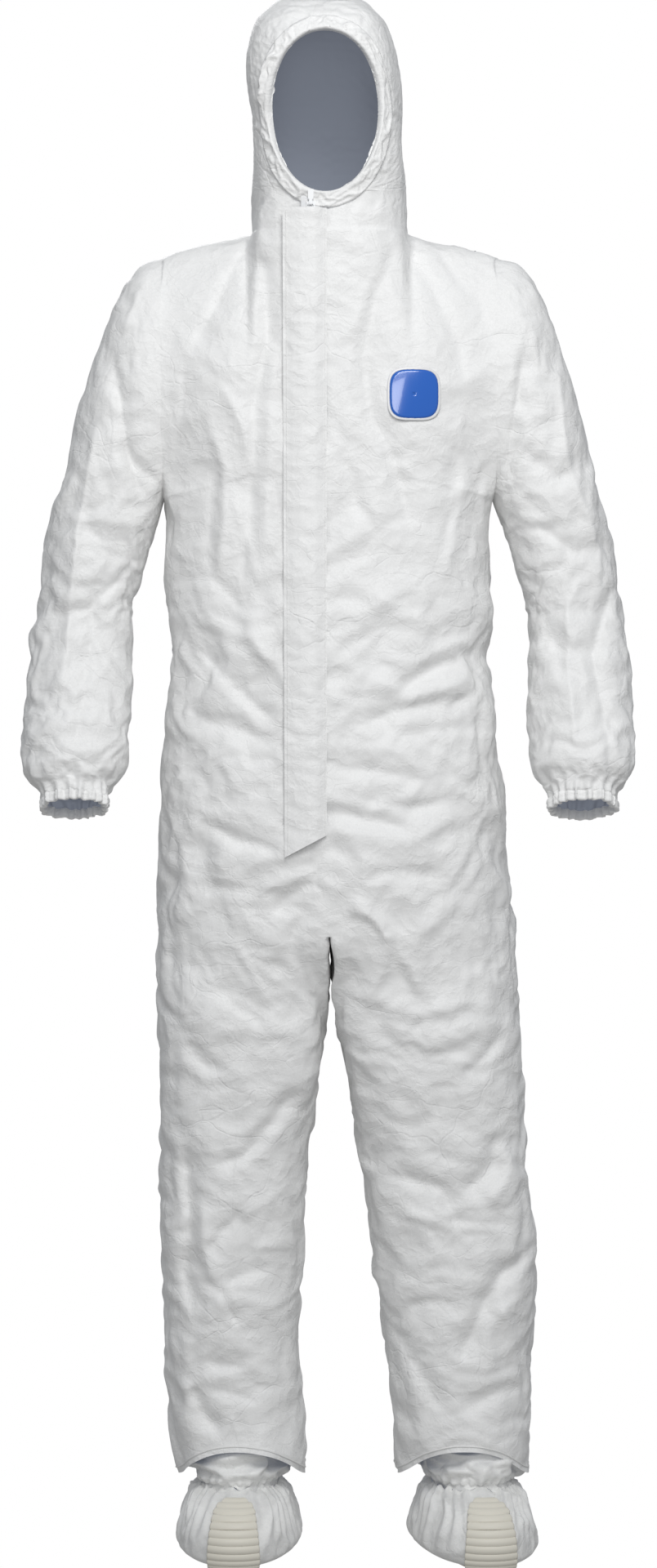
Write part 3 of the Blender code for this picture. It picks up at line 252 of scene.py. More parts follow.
def read_table(table, at):
    """Smooth reading of a table at places in its first column; one array per other column."""
    at = np.clip(at, table[0, 0], table[-1, 0])
    k = np.clip(np.searchsorted(table[:, 0], at, side="right") - 1, 0, len(table) - 2)
    here, after = table[k], table[k + 1]
    before, beyond = table[np.maximum(k - 1, 0)], table[np.minimum(k + 2, len(table) - 1)]
    step = (after - here)[..., :1]
    t = (at[..., None] - here[..., :1]) / step
    slope_here = (after - before) / (after - before)[..., :1] * step
    slope_after = (beyond - here) / (beyond - here)[..., :1] * step
    values = ((2 * t**3 - 3 * t**2 + 1) * here + (t**3 - 2 * t**2 + t) * slope_here
              + (-2 * t**3 + 3 * t**2) * after + (t**3 - t**2) * slope_after)
    return np.moveaxis(values, -1, 0)[1:]


def numbered(table):
    """The table with its row numbers as first column."""
    return np.concatenate([np.arange(len(table))[:, None].astype(float), table], 1)


def signed_power(value, power):
    return np.sign(value) * np.abs(value) ** power


def smoothstep(start, end, x):
    t = np.clip((x - start) / (end - start), 0, 1)
    return t * t * (3 - 2 * t)


def bell(x, middle, width):
    return np.exp(-((x - middle) / width) ** 2)


def unit(vectors):
    return vectors / (np.linalg.norm(vectors, axis=-1, keepdims=True) + 1e-12)


def arc_length(path):
    return np.r_[0, np.cumsum(np.linalg.norm(np.diff(path, axis=0), axis=1))]


def arc_share(path):
    length = arc_length(path)
    return length / length[-1]


def resample(at, places, vectors):
    return np.stack([np.interp(at, places, vectors[:, k]) for k in range(3)], -1)


def nearest(values, target):
    return int(np.argmin(np.abs(values - target)))


def even_angles(ring, columns):
    """Angles that space the columns evenly round ring(angles)."""
    fine = np.linspace(0, 2 * math.pi, 1441)
    length = arc_length(ring(fine))
    return np.interp(np.arange(columns) / columns * length[-1], length, fine)


def grid_normals(points, wrap=False):
    if wrap:
        across = np.roll(points, -1, 1) - np.roll(points, 1, 1)
    else:
        across = np.gradient(points, axis=1)
    return unit(np.cross(across, np.gradient(points, axis=0)))


def faces_inward(points, centre, wrap=False):
    return ((points - centre) * grid_normals(points, wrap)).sum(-1).mean() < 0


def outward(points, centre, wrap=False):
    normals = grid_normals(points, wrap)
    return -normals if faces_inward(points, centre, wrap) else normals


def away_from_axis(points, axis_x):
    """Level directions away from the upright line at (axis_x, 0)."""
    return unit(points * (1, 1, 0) - (axis_x, 0, 0))


# =====================================================================
#  Random fields and folds
# =====================================================================
rng = np.random.default_rng(11)


def smooth_noise(rows, cols, row_cells, col_cells, wrap=False):
    """Smooth random field on a grid with about so many cells each way."""
    knots = rng.standard_normal((row_cells + 3, col_cells + (0 if wrap else 3)))

    def spline(cells, number, endpoint):
        place = np.linspace(0, cells, number, endpoint=endpoint)
        cell = place.astype(int)
        f = place - cell
        return cell, ((1 - f) ** 3 / 6, (3 * f**3 - 6 * f**2 + 4) / 6,
                      (-3 * f**3 + 3 * f**2 + 3 * f + 1) / 6, f**3 / 6)

    row, row_weights = spline(row_cells, rows, True)
    col, col_weights = spline(col_cells, cols, not wrap)
    field = np.zeros((rows, cols))
    width = knots.shape[1]
    for i in range(4):
        for j in range(4):
            ii = np.clip(row + i, 0, knots.shape[0] - 1)
            jj = (col + j) % width if wrap else np.clip(col + j, 0, width - 1)
            field += row_weights[i][:, None] * col_weights[j][None, :] * knots[np.ix_(ii, jj)]
    return field * 2.0


def ridged(rows, cols, row_cells, col_cells, wrap=False):
    """Sharp-crested noise, from -1 to 1."""
    return 1 - 2 * np.minimum(np.abs(smooth_noise(rows, cols, row_cells, col_cells, wrap)), 1)


def space_noise(points, scale, seed, stretch=(1, 1, 1)):
    """Smooth field in space, about -1 to 1; the same place always gets the same value."""
    draw = np.random.default_rng(seed)
    field = np.zeros(points.shape[:-1])
    for k in range(14):
        direction = draw.standard_normal(3)
        direction = direction / np.linalg.norm(direction) * np.array(stretch)
        frequency = 2 * math.pi / scale * (0.6 + 0.9 * draw.random())
        field += np.sin(points @ direction * frequency + 2 * math.pi * draw.random())
    return field / 3.2


def facet_noise(points, scale, seed, stretch, waves=5):
    """Crumpled-film field, about -1 to 1: flat facets that meet in sharp creases."""
    draw = np.random.default_rng(seed)
    shift = [space_noise(points, scale * 1.9, seed + 1000 + k) for k in range(3)]
    warped = points + 0.40 * scale * np.stack(shift, -1)
    field = np.zeros(points.shape[:-1])
    for k in range(waves):
        direction = draw.standard_normal(3) * np.array(stretch)
        direction = direction / np.linalg.norm(direction)
        frequency = (0.55 + 0.8 * draw.random()) / scale
        t = warped @ direction * frequency + draw.random()
        field += 4 * np.abs(t - np.floor(t + 0.5)) - 1
    return field / math.sqrt(waves * 0.8)


def fold_field(points, folds):
    """Height of the listed folds over each point's front-view place."""
    x, z = points[..., 0], points[..., 2]
    field = np.zeros_like(x)
    for half_width, height, *line in folds:
        path = np.array(line).reshape(-1, 2) * MM
        width = half_width * MM
        nearest_gap = np.full(x.shape, 1e9)
        side = np.zeros_like(x)
        progress = np.zeros_like(x)
        lengths = np.linalg.norm(path[1:] - path[:-1], axis=1)
        done = 0.0
        for start, end, length in zip(path[:-1], path[1:], lengths):
            run = end - start
            square = (run * run).sum()
            t = np.clip(((x - start[0]) * run[0] + (z - start[1]) * run[1]) / square, 0, 1)
            gap = np.hypot(x - (start[0] + t * run[0]), z - (start[1] + t * run[1]))
            offset = (run[0] * (z - start[1]) - run[1] * (x - start[0])) / math.sqrt(square)
            closer = gap < nearest_gap
            nearest_gap = np.where(closer, gap, nearest_gap)
            side = np.where(closer, offset, side)
            progress = np.where(closer, (done + t * length) / lengths.sum(), progress)
            done += length
        fade = smoothstep(0, 1, np.minimum(progress, 1 - progress) * 5)
        # a crisp crest with one slope steeper than the other
        slope = np.where(side > 0, nearest_gap / (width * 1.15), nearest_gap / (width * 0.72))
        field += height * MM * 0.80 * np.exp(-slope ** 1.30) * (0.10 + 0.90 * fade)
    return field


# =====================================================================
#  Cloth: a position-based solver on grids of points (rows, columns, xyz)
# =====================================================================
# row step, column step, stiffness (None: the bending stiffness), share of the across slack
LINKS = ((1, 0, 0.95, 0.0), (0, 1, 0.95, 1.0), (1, 1, 0.5, 0.5), (1, -1, 0.5, 0.5),
         (2, 0, None, 0.0), (0, 2, None, 1.0))
BEND = 0.12


def link_groups(rows, cols, wrap):
    """Linked point pairs in alternating groups, with stiffness and share of the across slack."""
    def alternate(number, step, first):
        k = np.arange(number)
        return k[k // step % 2 == first]

    groups = []
    for row_step, col_step, stiffness, share in LINKS:
        for first in (0, 1):
            if row_step:
                row, col = alternate(rows - row_step, row_step, first), np.arange(cols)
            else:
                row = np.arange(rows)
                col = alternate(cols if wrap else cols - col_step, col_step, first)
            other = col + col_step
            inside = wrap | ((other >= 0) & (other < cols))
            groups.append((np.ix_(row, col[inside]),
                           np.ix_(row + row_step, other[inside] % cols), stiffness, share))
    return groups


def relax(base, start, slack_across, slack_along, anchor, iterations, fixed, wrap, bend):
    """Relax a sheet that has more cloth than its base shape has room for.
    The slacks are the extra lengths; anchor is the pull back to the base."""
    shape = base.shape[:2]
    points = start.copy()
    mobile = np.where(fixed, 0.0, 1.0)
    slack_across = np.broadcast_to(slack_across, shape)
    slack_along = np.broadcast_to(slack_along, shape)
    links = []
    for a, b, stiffness, share in link_groups(*shape, wrap):
        length = np.sqrt(((base[b] - base[a]) ** 2).sum(-1))
        length = length * (1 + share * slack_across[a] + (1 - share) * slack_along[a])
        total = mobile[a] + mobile[b]
        pull = (bend if stiffness is None else stiffness) / np.where(total == 0, 1, total)
        links.append((a, b, length, pull, mobile[a][..., None], mobile[b][..., None]))
    anchor = np.broadcast_to(anchor, shape)[..., None] * mobile[..., None]
    for _ in range(iterations):
        for a, b, length, pull, mobile_a, mobile_b in links:
            at_a, at_b = points[a], points[b]
            gap = at_b - at_a
            distance = np.sqrt((gap * gap).sum(-1)) + 1e-12
            move = (pull * (distance - length) / distance)[..., None] * gap
            points[a] = at_a + move * mobile_a
            points[b] = at_b - move * mobile_b
        points += (base - points) * anchor
    return points


def upsample(points, rows, cols, wrap):
    """Smooth upsampling of a grid by cubic rows and columns."""
    def stretch(values, number, wrapped):
        last = values.shape[0]
        place = np.linspace(0, last if wrapped else last - 1, number, endpoint=not wrapped)
        i = np.floor(place).astype(int)
        if not wrapped:
            i = np.minimum(i, last - 2)
        f = (place - i)[:, None, None]

        def at(k):
            return values[k % last] if wrapped else values[np.clip(k, 0, last - 1)]

        p0, p1, p2, p3 = at(i - 1), at(i), at(i + 1), at(i + 2)
        return 0.5 * (2 * p1 + (p2 - p0) * f + (2 * p0 - 5 * p1 + 4 * p2 - p3) * f**2
                      + (3 * p1 - p0 - 3 * p2 + p3) * f**3)

    tall = stretch(points, rows, False)
    return np.swapaxes(stretch(np.swapaxes(tall, 0, 1), cols, wrap), 0, 1)


def soften(points, fixed, wrap):
    """Takes the last sawtooth off the creases; fixed edges stay."""
    rows = points.copy()
    rows[1:-1] = (points[:-2] + points[2:]) / 4 + points[1:-1] / 2
    if wrap:
        both = (np.roll(rows, 1, 1) + np.roll(rows, -1, 1)) / 4 + rows / 2
    else:
        both = rows.copy()
        both[:, 1:-1] = (rows[:, :-2] + rows[:, 2:]) / 4 + rows[:, 1:-1] / 2
    return points + (both - points) * np.where(fixed, 0.0, 1.0)[..., None]


def fixed_mask(rows, cols, last_row_fixed, wrap):
    mask = np.zeros((rows, cols), bool)
    mask[0] = True
    mask[-1] = last_row_fixed
    if not wrap:
        mask[:, [0, -1]] = True
    return mask


def crumple(base, centre, slack_across, slack_along, free, seed_height,
            wrap=False, last_row_fixed=True, detail=0.0016):
    """Two passes: broad folds on a half-resolution grid, then fine creases.
    free: 0..1, how loose each place is; seed_height, detail: noise that starts each pass."""
    rows, cols = base.shape[:2]
    normals = outward(base, centre, wrap)
    slack_across, slack_along, free, seed_height = (
        np.broadcast_to(np.asarray(field, float), (rows, cols))
        for field in (slack_across, slack_along, free, seed_height))
    few_rows, few_cols = max(8, int(rows * 0.5)), max(8, int(cols * 0.5))
    few_cols += few_cols % 2
    row = np.linspace(0, rows - 1, few_rows).round().astype(int)
    if wrap:
        col = np.arange(few_cols) * cols // few_cols
    else:
        col = np.linspace(0, cols - 1, few_cols).round().astype(int)
    sub = np.ix_(row, col)

    broad = 0.6 * smooth_noise(few_rows, few_cols, max(3, few_rows // 9),
                               max(3, few_cols // 9), wrap)
    broad = broad + 0.5 * ridged(few_rows, few_cols, max(4, few_rows // 5),
                                 max(4, few_cols // 5), wrap)
    start = base[sub] + normals[sub] * (seed_height[sub] * free[sub] * broad)[..., None]
    coarse = relax(base[sub], start, slack_across[sub], slack_along[sub],
                   0.030 - 0.022 * free[sub], ITERATIONS,
                   fixed_mask(few_rows, few_cols, last_row_fixed, wrap), wrap, BEND)
    folded = base + upsample(coarse - base[sub], rows, cols, wrap)

    fine = ridged(rows, cols, max(6, rows // 6), max(6, cols // 6), wrap)
    fine = fine + 0.6 * ridged(rows, cols, max(8, rows // 3), max(8, cols // 3), wrap)
    start = folded + normals * (detail * free * fine)[..., None]
    fixed = fixed_mask(rows, cols, last_row_fixed, wrap)
    creased = relax(folded, start, slack_across * 0.30, slack_along * 0.30, 0.05,
                    ITERATIONS // 2, fixed, wrap, BEND * 0.7)
    return soften(creased, fixed, wrap)


# =====================================================================
#  Materials
# =====================================================================
def set_inputs(tree, node, inputs):
    """Sets each input to its value, or links it where the value is a socket."""
    for name, value in inputs.items():
        if isinstance(value, bpy.types.NodeSocket):
            tree.links.new(value, node.inputs[name])
        else:
            node.inputs[name].default_value = value


def add_node(tree, kind, inputs={}, **settings):
    """Adds a shader node and returns its outputs."""
    node = tree.nodes.new("ShaderNode" + kind)
    for name, value in settings.items():
        setattr(node, name, value)
    set_inputs(tree, node, inputs)
    return node.outputs


def new_material(name, colour, inputs):
    material = bpy.data.materials.new(name)
    material.use_nodes = True
    material.diffuse_color = (*colour, 1)
    tree = material.node_tree
    shader = tree.nodes["Principled BSDF"]
    set_inputs(tree, shader, inputs)
    return material, tree, shader


# hard creases of the film: cells per metre, strength, crease width, pattern shift, z scale
CREASES = ((13, 0.42, 0.030, 0.0, 1.5), (30, 0.30, 0.045, 3.7, 1.9))


def film(name, colour, roughness, relief):
    """White film: fine crinkle, thin creases and a faint fibre pattern.
    relief scales the strength of every bump."""
    material, tree, shader = new_material(
        name, colour, {"Roughness": roughness, "Specular IOR Level": 0.32})
    rest = add_node(tree, "Attribute", attribute_name="rest")["Vector"]
    place = add_node(tree, "Mapping", {"Scale": (1.0, 1.0, 1.2), "Vector": rest})["Vector"]
    crinkle = add_node(
        tree, "TexNoise",
        {"Scale": 24, "Detail": 5, "Roughness": 0.62, "Lacunarity": 2.15, "Offset": 0.85,
         "Gain": 2.0, "Distortion": 0.25, "Vector": place},
        noise_type="RIDGED_MULTIFRACTAL", normalize=False)["Fac"]
    dimples = add_node(tree, "TexVoronoi", {"Scale": 62, "Vector": place})["Distance"]
    fibres = add_node(tree, "TexNoise", {"Scale": 420, "Detail": 2, "Vector": rest})["Fac"]
    normal = add_node(tree, "Bump", {"Strength": 0.27 * relief, "Distance": 0.0032,
                                     "Height": crinkle})["Normal"]
    # thin hard creases: the edges of irregular facets, present only here and there
    warp = add_node(tree, "TexNoise", {"Scale": 16, "Detail": 2, "Vector": rest})["Color"]
    shifted = add_node(tree, "VectorMath", {0: warp, 1: (0.050, 0.050, 0.050), 2: rest},
                       operation="MULTIPLY_ADD")["Vector"]
    for scale, strength, width, offset, z_scale in CREASES:
        cell_place = add_node(tree, "Mapping", {
            "Scale": (1.0, 1.0, z_scale), "Location": (offset, offset * 0.7, offset * 1.3),
            "Vector": shifted})["Vector"]
        edge = add_node(tree, "TexVoronoi", {"Scale": scale, "Vector": cell_place},
                        feature="DISTANCE_TO_EDGE")["Distance"]
        wall = add_node(tree, "MapRange", {"From Min": 0.0, "From Max": width, "Value": edge},
                        interpolation_type="SMOOTHSTEP")["Result"]
        patches = add_node(tree, "TexNoise", {"Scale": scale * 0.55, "Vector": cell_place})["Fac"]
        present = add_node(tree, "MapRange", {"From Min": 0.46, "From Max": 0.62,
                                              "Value": patches})["Result"]
        height = add_node(tree, "MixRGB", {"Color1": (1, 1, 1, 1), "Fac": present,
                                           "Color2": wall})["Color"]
        normal = add_node(tree, "Bump", {"Strength": strength * relief, "Distance": 0.0009,
                                         "Height": height, "Normal": normal})["Normal"]
    normal = add_node(tree, "Bump", {"Strength": 0.20 * relief, "Distance": 0.0040,
                                     "Height": dimples, "Normal": normal})["Normal"]
    shade = add_node(tree, "MapRange", {"From Min": 0.3, "From Max": 0.7, "To Min": 0.965,
                                        "To Max": 1.02, "Value": fibres})["Result"]
    tinted = add_node(tree, "MixRGB", {"Fac": 1.0, "Color1": (*colour, 1), "Color2": shade},
                      blend_type="MULTIPLY")["Color"]
    set_inputs(tree, shader, {"Normal": normal, "Base Color": tinted})
    return material


def plain(name, colour, roughness, specular, coat=0.0):
    return new_material(name, colour, {
        "Base Color": (*colour, 1), "Roughness": roughness,
        "Specular IOR Level": specular, "Coat Weight": coat})[0]


def inside_painted_shade(name, dark, light, colour):
    """The suit's inside as painted shade: slate grey in place of white film in shadow, with a painted
    glow that is lighter where it faces forward or back.
    """
    material = plain(name, colour, roughness=0.85, specular=0.10)
    tree = material.node_tree
    normal = add_node(tree, "NewGeometry")["Normal"]
    y_part = add_node(tree, "SeparateXYZ", {"Vector": normal})["Y"]
    facing = add_node(tree, "Math", {0: y_part}, operation="ABSOLUTE")["Value"]
    # painted light: the inside glows, though it is no lamp, and glows brighter where it faces forward
    # or back
    glow = add_node(tree, "MixRGB", {"Color1": (*dark, 1), "Color2": (*light, 1),
                                     "Fac": facing})["Color"]
    set_inputs(tree, tree.nodes["Principled BSDF"],
               {"Emission Color": glow, "Emission Strength": 1.0})
    return material


SUIT_FILM = film("suit_film", (0.875, 0.875, 0.868), roughness=0.55, relief=1.0)
OVERSHOE_FILM = film("overshoe_film", (0.87, 0.87, 0.855), roughness=0.34, relief=0.8)
# painted shade: every inside gets this slate-grey glowing colour in place of white film in shadow
INSIDE_PAINTED_SHADE = inside_painted_shade("suit_inside_painted_shade", dark=(0.060, 0.065, 0.080),
                        light=(0.135, 0.148, 0.178), colour=(0.10, 0.11, 0.13))
THREAD = plain("seam_thread", (0.80, 0.80, 0.79), roughness=0.8, specular=0.2)
ELASTIC = plain("elastic", (0.82, 0.82, 0.80), roughness=0.8, specular=0.2)
ZIP_TAPE = plain("zip_tape", (0.78, 0.79, 0.80), roughness=0.75, specular=0.2)
ZIP_PLASTIC = plain("zip_plastic", (0.84, 0.85, 0.86), roughness=0.35, specular=0.5)
LABEL_BLUE = plain("label_blue", (0.015, 0.125, 0.55), roughness=0.16, specular=0.6, coat=0.6)
LABEL_BORDER = plain("label_border", (0.80, 0.80, 0.80), roughness=0.3, specular=0.5)
SOLE = plain("overshoe_sole", (0.62, 0.59, 0.50), roughness=0.6, specular=0.3)
TOE_PATCH = plain("toe_patch", (0.76, 0.73, 0.64), roughness=0.5, specular=0.35)
ADHESIVE = plain("adhesive_strip", (0.86, 0.87, 0.86), roughness=0.35, specular=0.4)


# =====================================================================
#  Mesh building
# =====================================================================
def add_mesh(name, points, faces, material, second_material=None, face_materials=None):
    """Mesh object with smooth faces; its "rest" attribute places the textures."""
    points = np.asarray(points, np.float32).reshape(-1, 3).copy()
    points[:, 1] += FRAME_Y
    faces = np.asarray(faces, np.int32)
    corners = faces.shape[1]
    mesh = bpy.data.meshes.new(name)
    mesh.vertices.add(len(points))
    mesh.vertices.foreach_set("co", points.ravel())
    mesh.loops.add(faces.size)
    mesh.loops.foreach_set("vertex_index", faces.ravel())
    mesh.polygons.add(len(faces))
    mesh.polygons.foreach_set("loop_start", np.arange(0, faces.size, corners, dtype=np.int32))
    mesh.polygons.foreach_set("loop_total", np.full(len(faces), corners, np.int32))
    mesh.polygons.foreach_set("use_smooth", np.ones(len(faces), bool))
    if face_materials is not None:
        mesh.polygons.foreach_set("material_index", np.asarray(face_materials, np.int32))
    mesh.update(calc_edges=True)
    mesh.validate()
    rest = mesh.attributes.new("rest", "FLOAT_VECTOR", "POINT")
    rest.data.foreach_set("vector", points.ravel())
    mesh.materials.append(material)
    if second_material:
        mesh.materials.append(second_material)
    ob = bpy.data.objects.new(name, mesh)
    bpy.context.scene.collection.objects.link(ob)
    return ob


def grid_faces(rows, cols, wrap=False, flip=False):
    i = np.arange(rows - 1)[:, None]
    j = np.arange(cols if wrap else cols - 1)[None, :]
    k = (j + 1) % cols
    corners = [i * cols + j, i * cols + k, (i + 1) * cols + k, (i + 1) * cols + j]
    faces = np.stack(corners, -1).reshape(-1, 4)
    return faces[:, ::-1] if flip else faces


def cloth_piece(name, points, centre, wrap=False, outer=SUIT_FILM, inner=INSIDE_PAINTED_SHADE,
                thickness=0.0005, normals=None):
    """Two layers of a grid, outer and inner, closed at the rims. normals: outward normals,
    given where the grid goes on into the next piece."""
    rows, cols = points.shape[:2]
    flip = faces_inward(points, centre, wrap)
    if normals is None:
        normals = outward(points, centre, wrap)
    verts = np.concatenate([points.reshape(-1, 3), (points - normals * thickness).reshape(-1, 3)])
    layer = rows * cols
    outer_faces = grid_faces(rows, cols, wrap, flip)
    # split along the same diagonals as the outer layer
    inner_faces = outer_faces[:, [2, 1, 0, 3]] + layer
    index = np.arange(layer).reshape(rows, cols)

    def rim(line, turn):
        closed = wrap and len(line) == cols
        a, b = (line, np.roll(line, -1)) if closed else (line[:-1], line[1:])
        faces = np.stack([b, a, a + layer, b + layer], -1)
        return faces[:, ::-1] if turn else faces

    rims = [rim(index[0], flip), rim(index[-1], not flip)]
    if not wrap:
        rims += [rim(index[:, 0], not flip), rim(index[:, -1], flip)]
    rims = np.concatenate(rims)
    faces = np.concatenate([outer_faces, inner_faces, rims])
    face_materials = np.r_[np.zeros(len(outer_faces)), np.ones(len(inner_faces)),
                           np.zeros(len(rims))]
    ob = add_mesh(name, verts, faces, outer, inner, face_materials)
    # corner normals only fit if validation has dropped no face
    if len(ob.data.polygons) == len(faces):
        vert_normals = np.concatenate([normals.reshape(-1, 3), -normals.reshape(-1, 3)])
        corner_normals = vert_normals[faces]
        rim_normals = unit(np.cross(verts[rims[:, 1]] - verts[rims[:, 0]],
                                    verts[rims[:, 2]] - verts[rims[:, 0]]))
        corner_normals[-len(rims):] = rim_normals[:, None]
        ob.data.normals_split_custom_set(corner_normals.reshape(-1, 3).tolist())
    return ob


# cross-section of a raised strip: offset in widths, lift in heights
RIBBON_SECTION = ((-0.5, -0.35), (-0.35, 0.75), (0.0, 1.0), (0.35, 0.75), (0.5, -0.35))


def ribbon(path, normals, width, height):
    """Points of a low raised strip along a path."""
    side = unit(np.cross(unit(np.gradient(path, axis=0)), normals))
    return np.stack([path + side * (offset * width) + normals * (lift * height)
                     for offset, lift in RIBBON_SECTION], 1)


def thicken(ob, thickness, offset):
    solidify = ob.modifiers.new("thickness", "SOLIDIFY")
    solidify.thickness = thickness
    solidify.offset = offset


def attach(ob, body, replaced=()):
    """The piece moves with one body and stands in for the named CAD pieces."""
    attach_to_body(ob, body)
    if replaced:
        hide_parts(*replaced)


def attach_between(ob, replaced):
    """Bakes the piece's placement into its mesh and hides the named CAD pieces; the piece is attached
    to no body.
    """
    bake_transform(ob)
    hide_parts(*replaced)


# =====================================================================
#  Trunk
# =====================================================================
class Panel:
    """A trunk panel's grid; across gives each point's place from -1 (right) to 1 (left)."""

    def __init__(self, points, across):
        self.points, self.across = points, across


def zip_y(z):
    return -0.142 + (z - 0.85) * (0.037 / 0.75)


def trunk_surface(across, up, facing):
    """across: -1 at the right side to 1 at the left; up: 0 at the hip to 1 at the top."""
    level = Z_HIP + (Z_SHOULDER - Z_HIP) * up
    reach = np.abs(across)
    beyond_neck = reach >= NECK_EDGE
    top_z = np.where(beyond_neck, Z_NECK + (Z_SHOULDER - Z_NECK) * (reach - NECK_EDGE)
                     / (1 - NECK_EDGE), Z_NECK)
    z = Z_HIP + (top_z - Z_HIP) * up
    x_right, x_left = read_table(TRUNK, level)
    x = (x_right + x_left) / 2 + across * (x_left - x_right) / 2
    if facing == FRONT:
        depth = np.where(z < 0.85, 0.142 - 0.0055 * ((0.85 - z) / 0.115) ** 2, -zip_y(z))
    else:
        depth = read_table(BACK_DEPTH, z)[0]
    armhole_z = (level - (Z_ARMPIT + Z_SHOULDER) / 2) / ((Z_SHOULDER - Z_ARMPIT) / 2)
    arm_depth = ARMHOLE_HALF_DEPTH * np.sqrt(np.clip(1 - armhole_z**2, 0, 1)) / depth
    # softer run into the sleeve than into a side seam
    arm = smoothstep(0.0, 0.55, arm_depth)
    at_seam = (1 - np.minimum(reach, 1) ** 2.4) ** (1 / 2.4)
    at_arm = (0.5 + 0.5 * np.cos(math.pi * np.minimum(reach, 1) ** 2.2)) ** 0.8
    section = arm_depth + (1 - arm_depth) * (
        at_seam * (1 - arm) + np.minimum(at_seam, at_arm) * arm)
    neck_section = np.where(
        beyond_neck, 0.0, (1 - np.minimum(reach / NECK_EDGE, 1) ** 2.8) ** (1 / 2.8))
    # above the chest the section closes in to the neck and shoulder line
    rise = np.clip((z - 1.38) / (top_z - 1.38), 0, 1)
    keep = (1 - rise * rise) ** (0.9 - 0.4 * smoothstep(0.2, 0.6, reach))
    section = (neck_section + (section - neck_section) * keep
               + arm_depth * (1 - keep) * reach**6 * beyond_neck)
    return np.stack([x, facing * depth * section, z], -1)


def shoulder_lift(points):
    """The cloth stands a little above the straight shoulder line near the arm."""
    points = points.copy()
    points[..., 2] += (0.0085 * bell(np.abs(points[..., 0]), 0.183, 0.048)
                       * smoothstep(1.42, 1.54, points[..., 2]))
    return points


def trunk_unevenness(points):
    """Unevenness shared by every trunk panel, so that seams stay closed."""
    low = smoothstep(1.22, 1.02, points[..., 2])
    height = ((0.0020 + 0.0010 * low) * facet_noise(points, 0.095, 3, (0.8, 0.8, 1.4))
              + (0.0007 + 0.0006 * low) * facet_noise(points, 0.042, 4, (0.8, 0.8, 1.6)))
    return shoulder_lift(points + away_from_axis(points, 0) * height[..., None])


def trunk_rows():
    """Even rows up to the armhole, then closer together at the armhole's two ends."""
    rows = count(240)
    below = int(rows * 0.64)
    t = np.linspace(0, 1, rows - below)
    t = 0.6 * (1 - np.cos(math.pi * t)) / 2 + 0.4 * t
    z = np.r_[np.linspace(Z_HIP, Z_ARMPIT, below, endpoint=False),
              Z_ARMPIT + (Z_SHOULDER - Z_ARMPIT) * t]
    return (z - Z_HIP) / (Z_SHOULDER - Z_HIP), below


TRUNK_UP, ARM_ROW = trunk_rows()


def crowd(t):
    """Spacing that crowds the columns toward the side seams."""
    return np.sin(math.pi / 2 * t) * 0.82 + 0.18 * t


def pin_column(places, j, value):
    """Shift a row of places a little so that column j lies exactly at value."""
    last = places.shape[-1] - 1
    col = np.arange(last + 1)
    weight = np.where(col <= j, col / max(j, 1), (last - col) / (last - j))
    return places + (value - places[..., j:j + 1]) * weight


def trunk_looseness(z, across):
    """Spare cloth (0 to 1), how far below the chest, and the calm along seams and hip."""
    loose = np.clip(0.55 + 0.45 * bell(z, 1.06, 0.10) + 0.30 * bell(z, 0.74, 0.12), 0, 1)
    calm = (smoothstep(0.0, 0.045, z - Z_HIP)
            * (0.25 + 0.75 * smoothstep(0.0, 0.10, 1 - np.abs(across))))
    return loose, smoothstep(1.20, 1.05, z), calm


def trunk_front(side):
    """Front panel of one side. Column 0 runs along the zip."""
    z = Z_HIP + (Z_NECK - Z_HIP) * TRUNK_UP
    x_right, x_left = read_table(TRUNK, Z_HIP + (Z_SHOULDER - Z_HIP) * TRUNK_UP)
    edge_x = (ZIP_X * smoothstep(Z_HIP, 0.84, z)
              + side * ZIP_HALF_GAP * smoothstep(0.846, 0.868, z))
    edge = (edge_x - (x_right + x_left) / 2) / ((x_left - x_right) / 2)
    t = np.linspace(0, 1, count(76))
    across = edge[:, None] + (side - edge[:, None]) * crowd(t)[None, :]
    across = pin_column(across, nearest(across[-1], side * NECK_EDGE), side * NECK_EDGE)
    points = trunk_unevenness(trunk_surface(across, TRUNK_UP[:, None] + 0 * across, FRONT))
    x, z = points[..., 0], points[..., 2]
    fold = (fold_field(points, TRUNK_FOLDS) * (1.0 + 0.20 * smoothstep(1.15, 1.02, z))
            + fold_field(points, LEG_FOLDS) * smoothstep(0.86, 0.78, z))
    # the cloth lies flat under the label
    label = np.exp(-(((x - LABEL_X) / 0.040) ** 2 + ((z - LABEL_Z) / 0.040) ** 2) ** 2)
    fold = fold * (1 - 0.9 * label)
    from_zip = np.minimum(1, t / 0.10)[None, :]
    points[..., 1] -= fold * (1 - np.abs(across) ** 5) * (0.35 + 0.65 * from_zip)
    loose, low, calm = trunk_looseness(z, across)
    loose = loose * (1 - 0.97 * label)
    slack_along = np.where(label > 0.5, 0.001, 0.005 + 0.010 * low) * calm
    slack_across = np.where(label > 0.5, 0.001, 0.006 + 0.003 * low) * calm
    return Panel(crumple(points, TRUNK_CENTRE, slack_across, slack_along, loose * calm,
                         seed_height=0.0030 * (0.4 + 0.6 * low)), across)


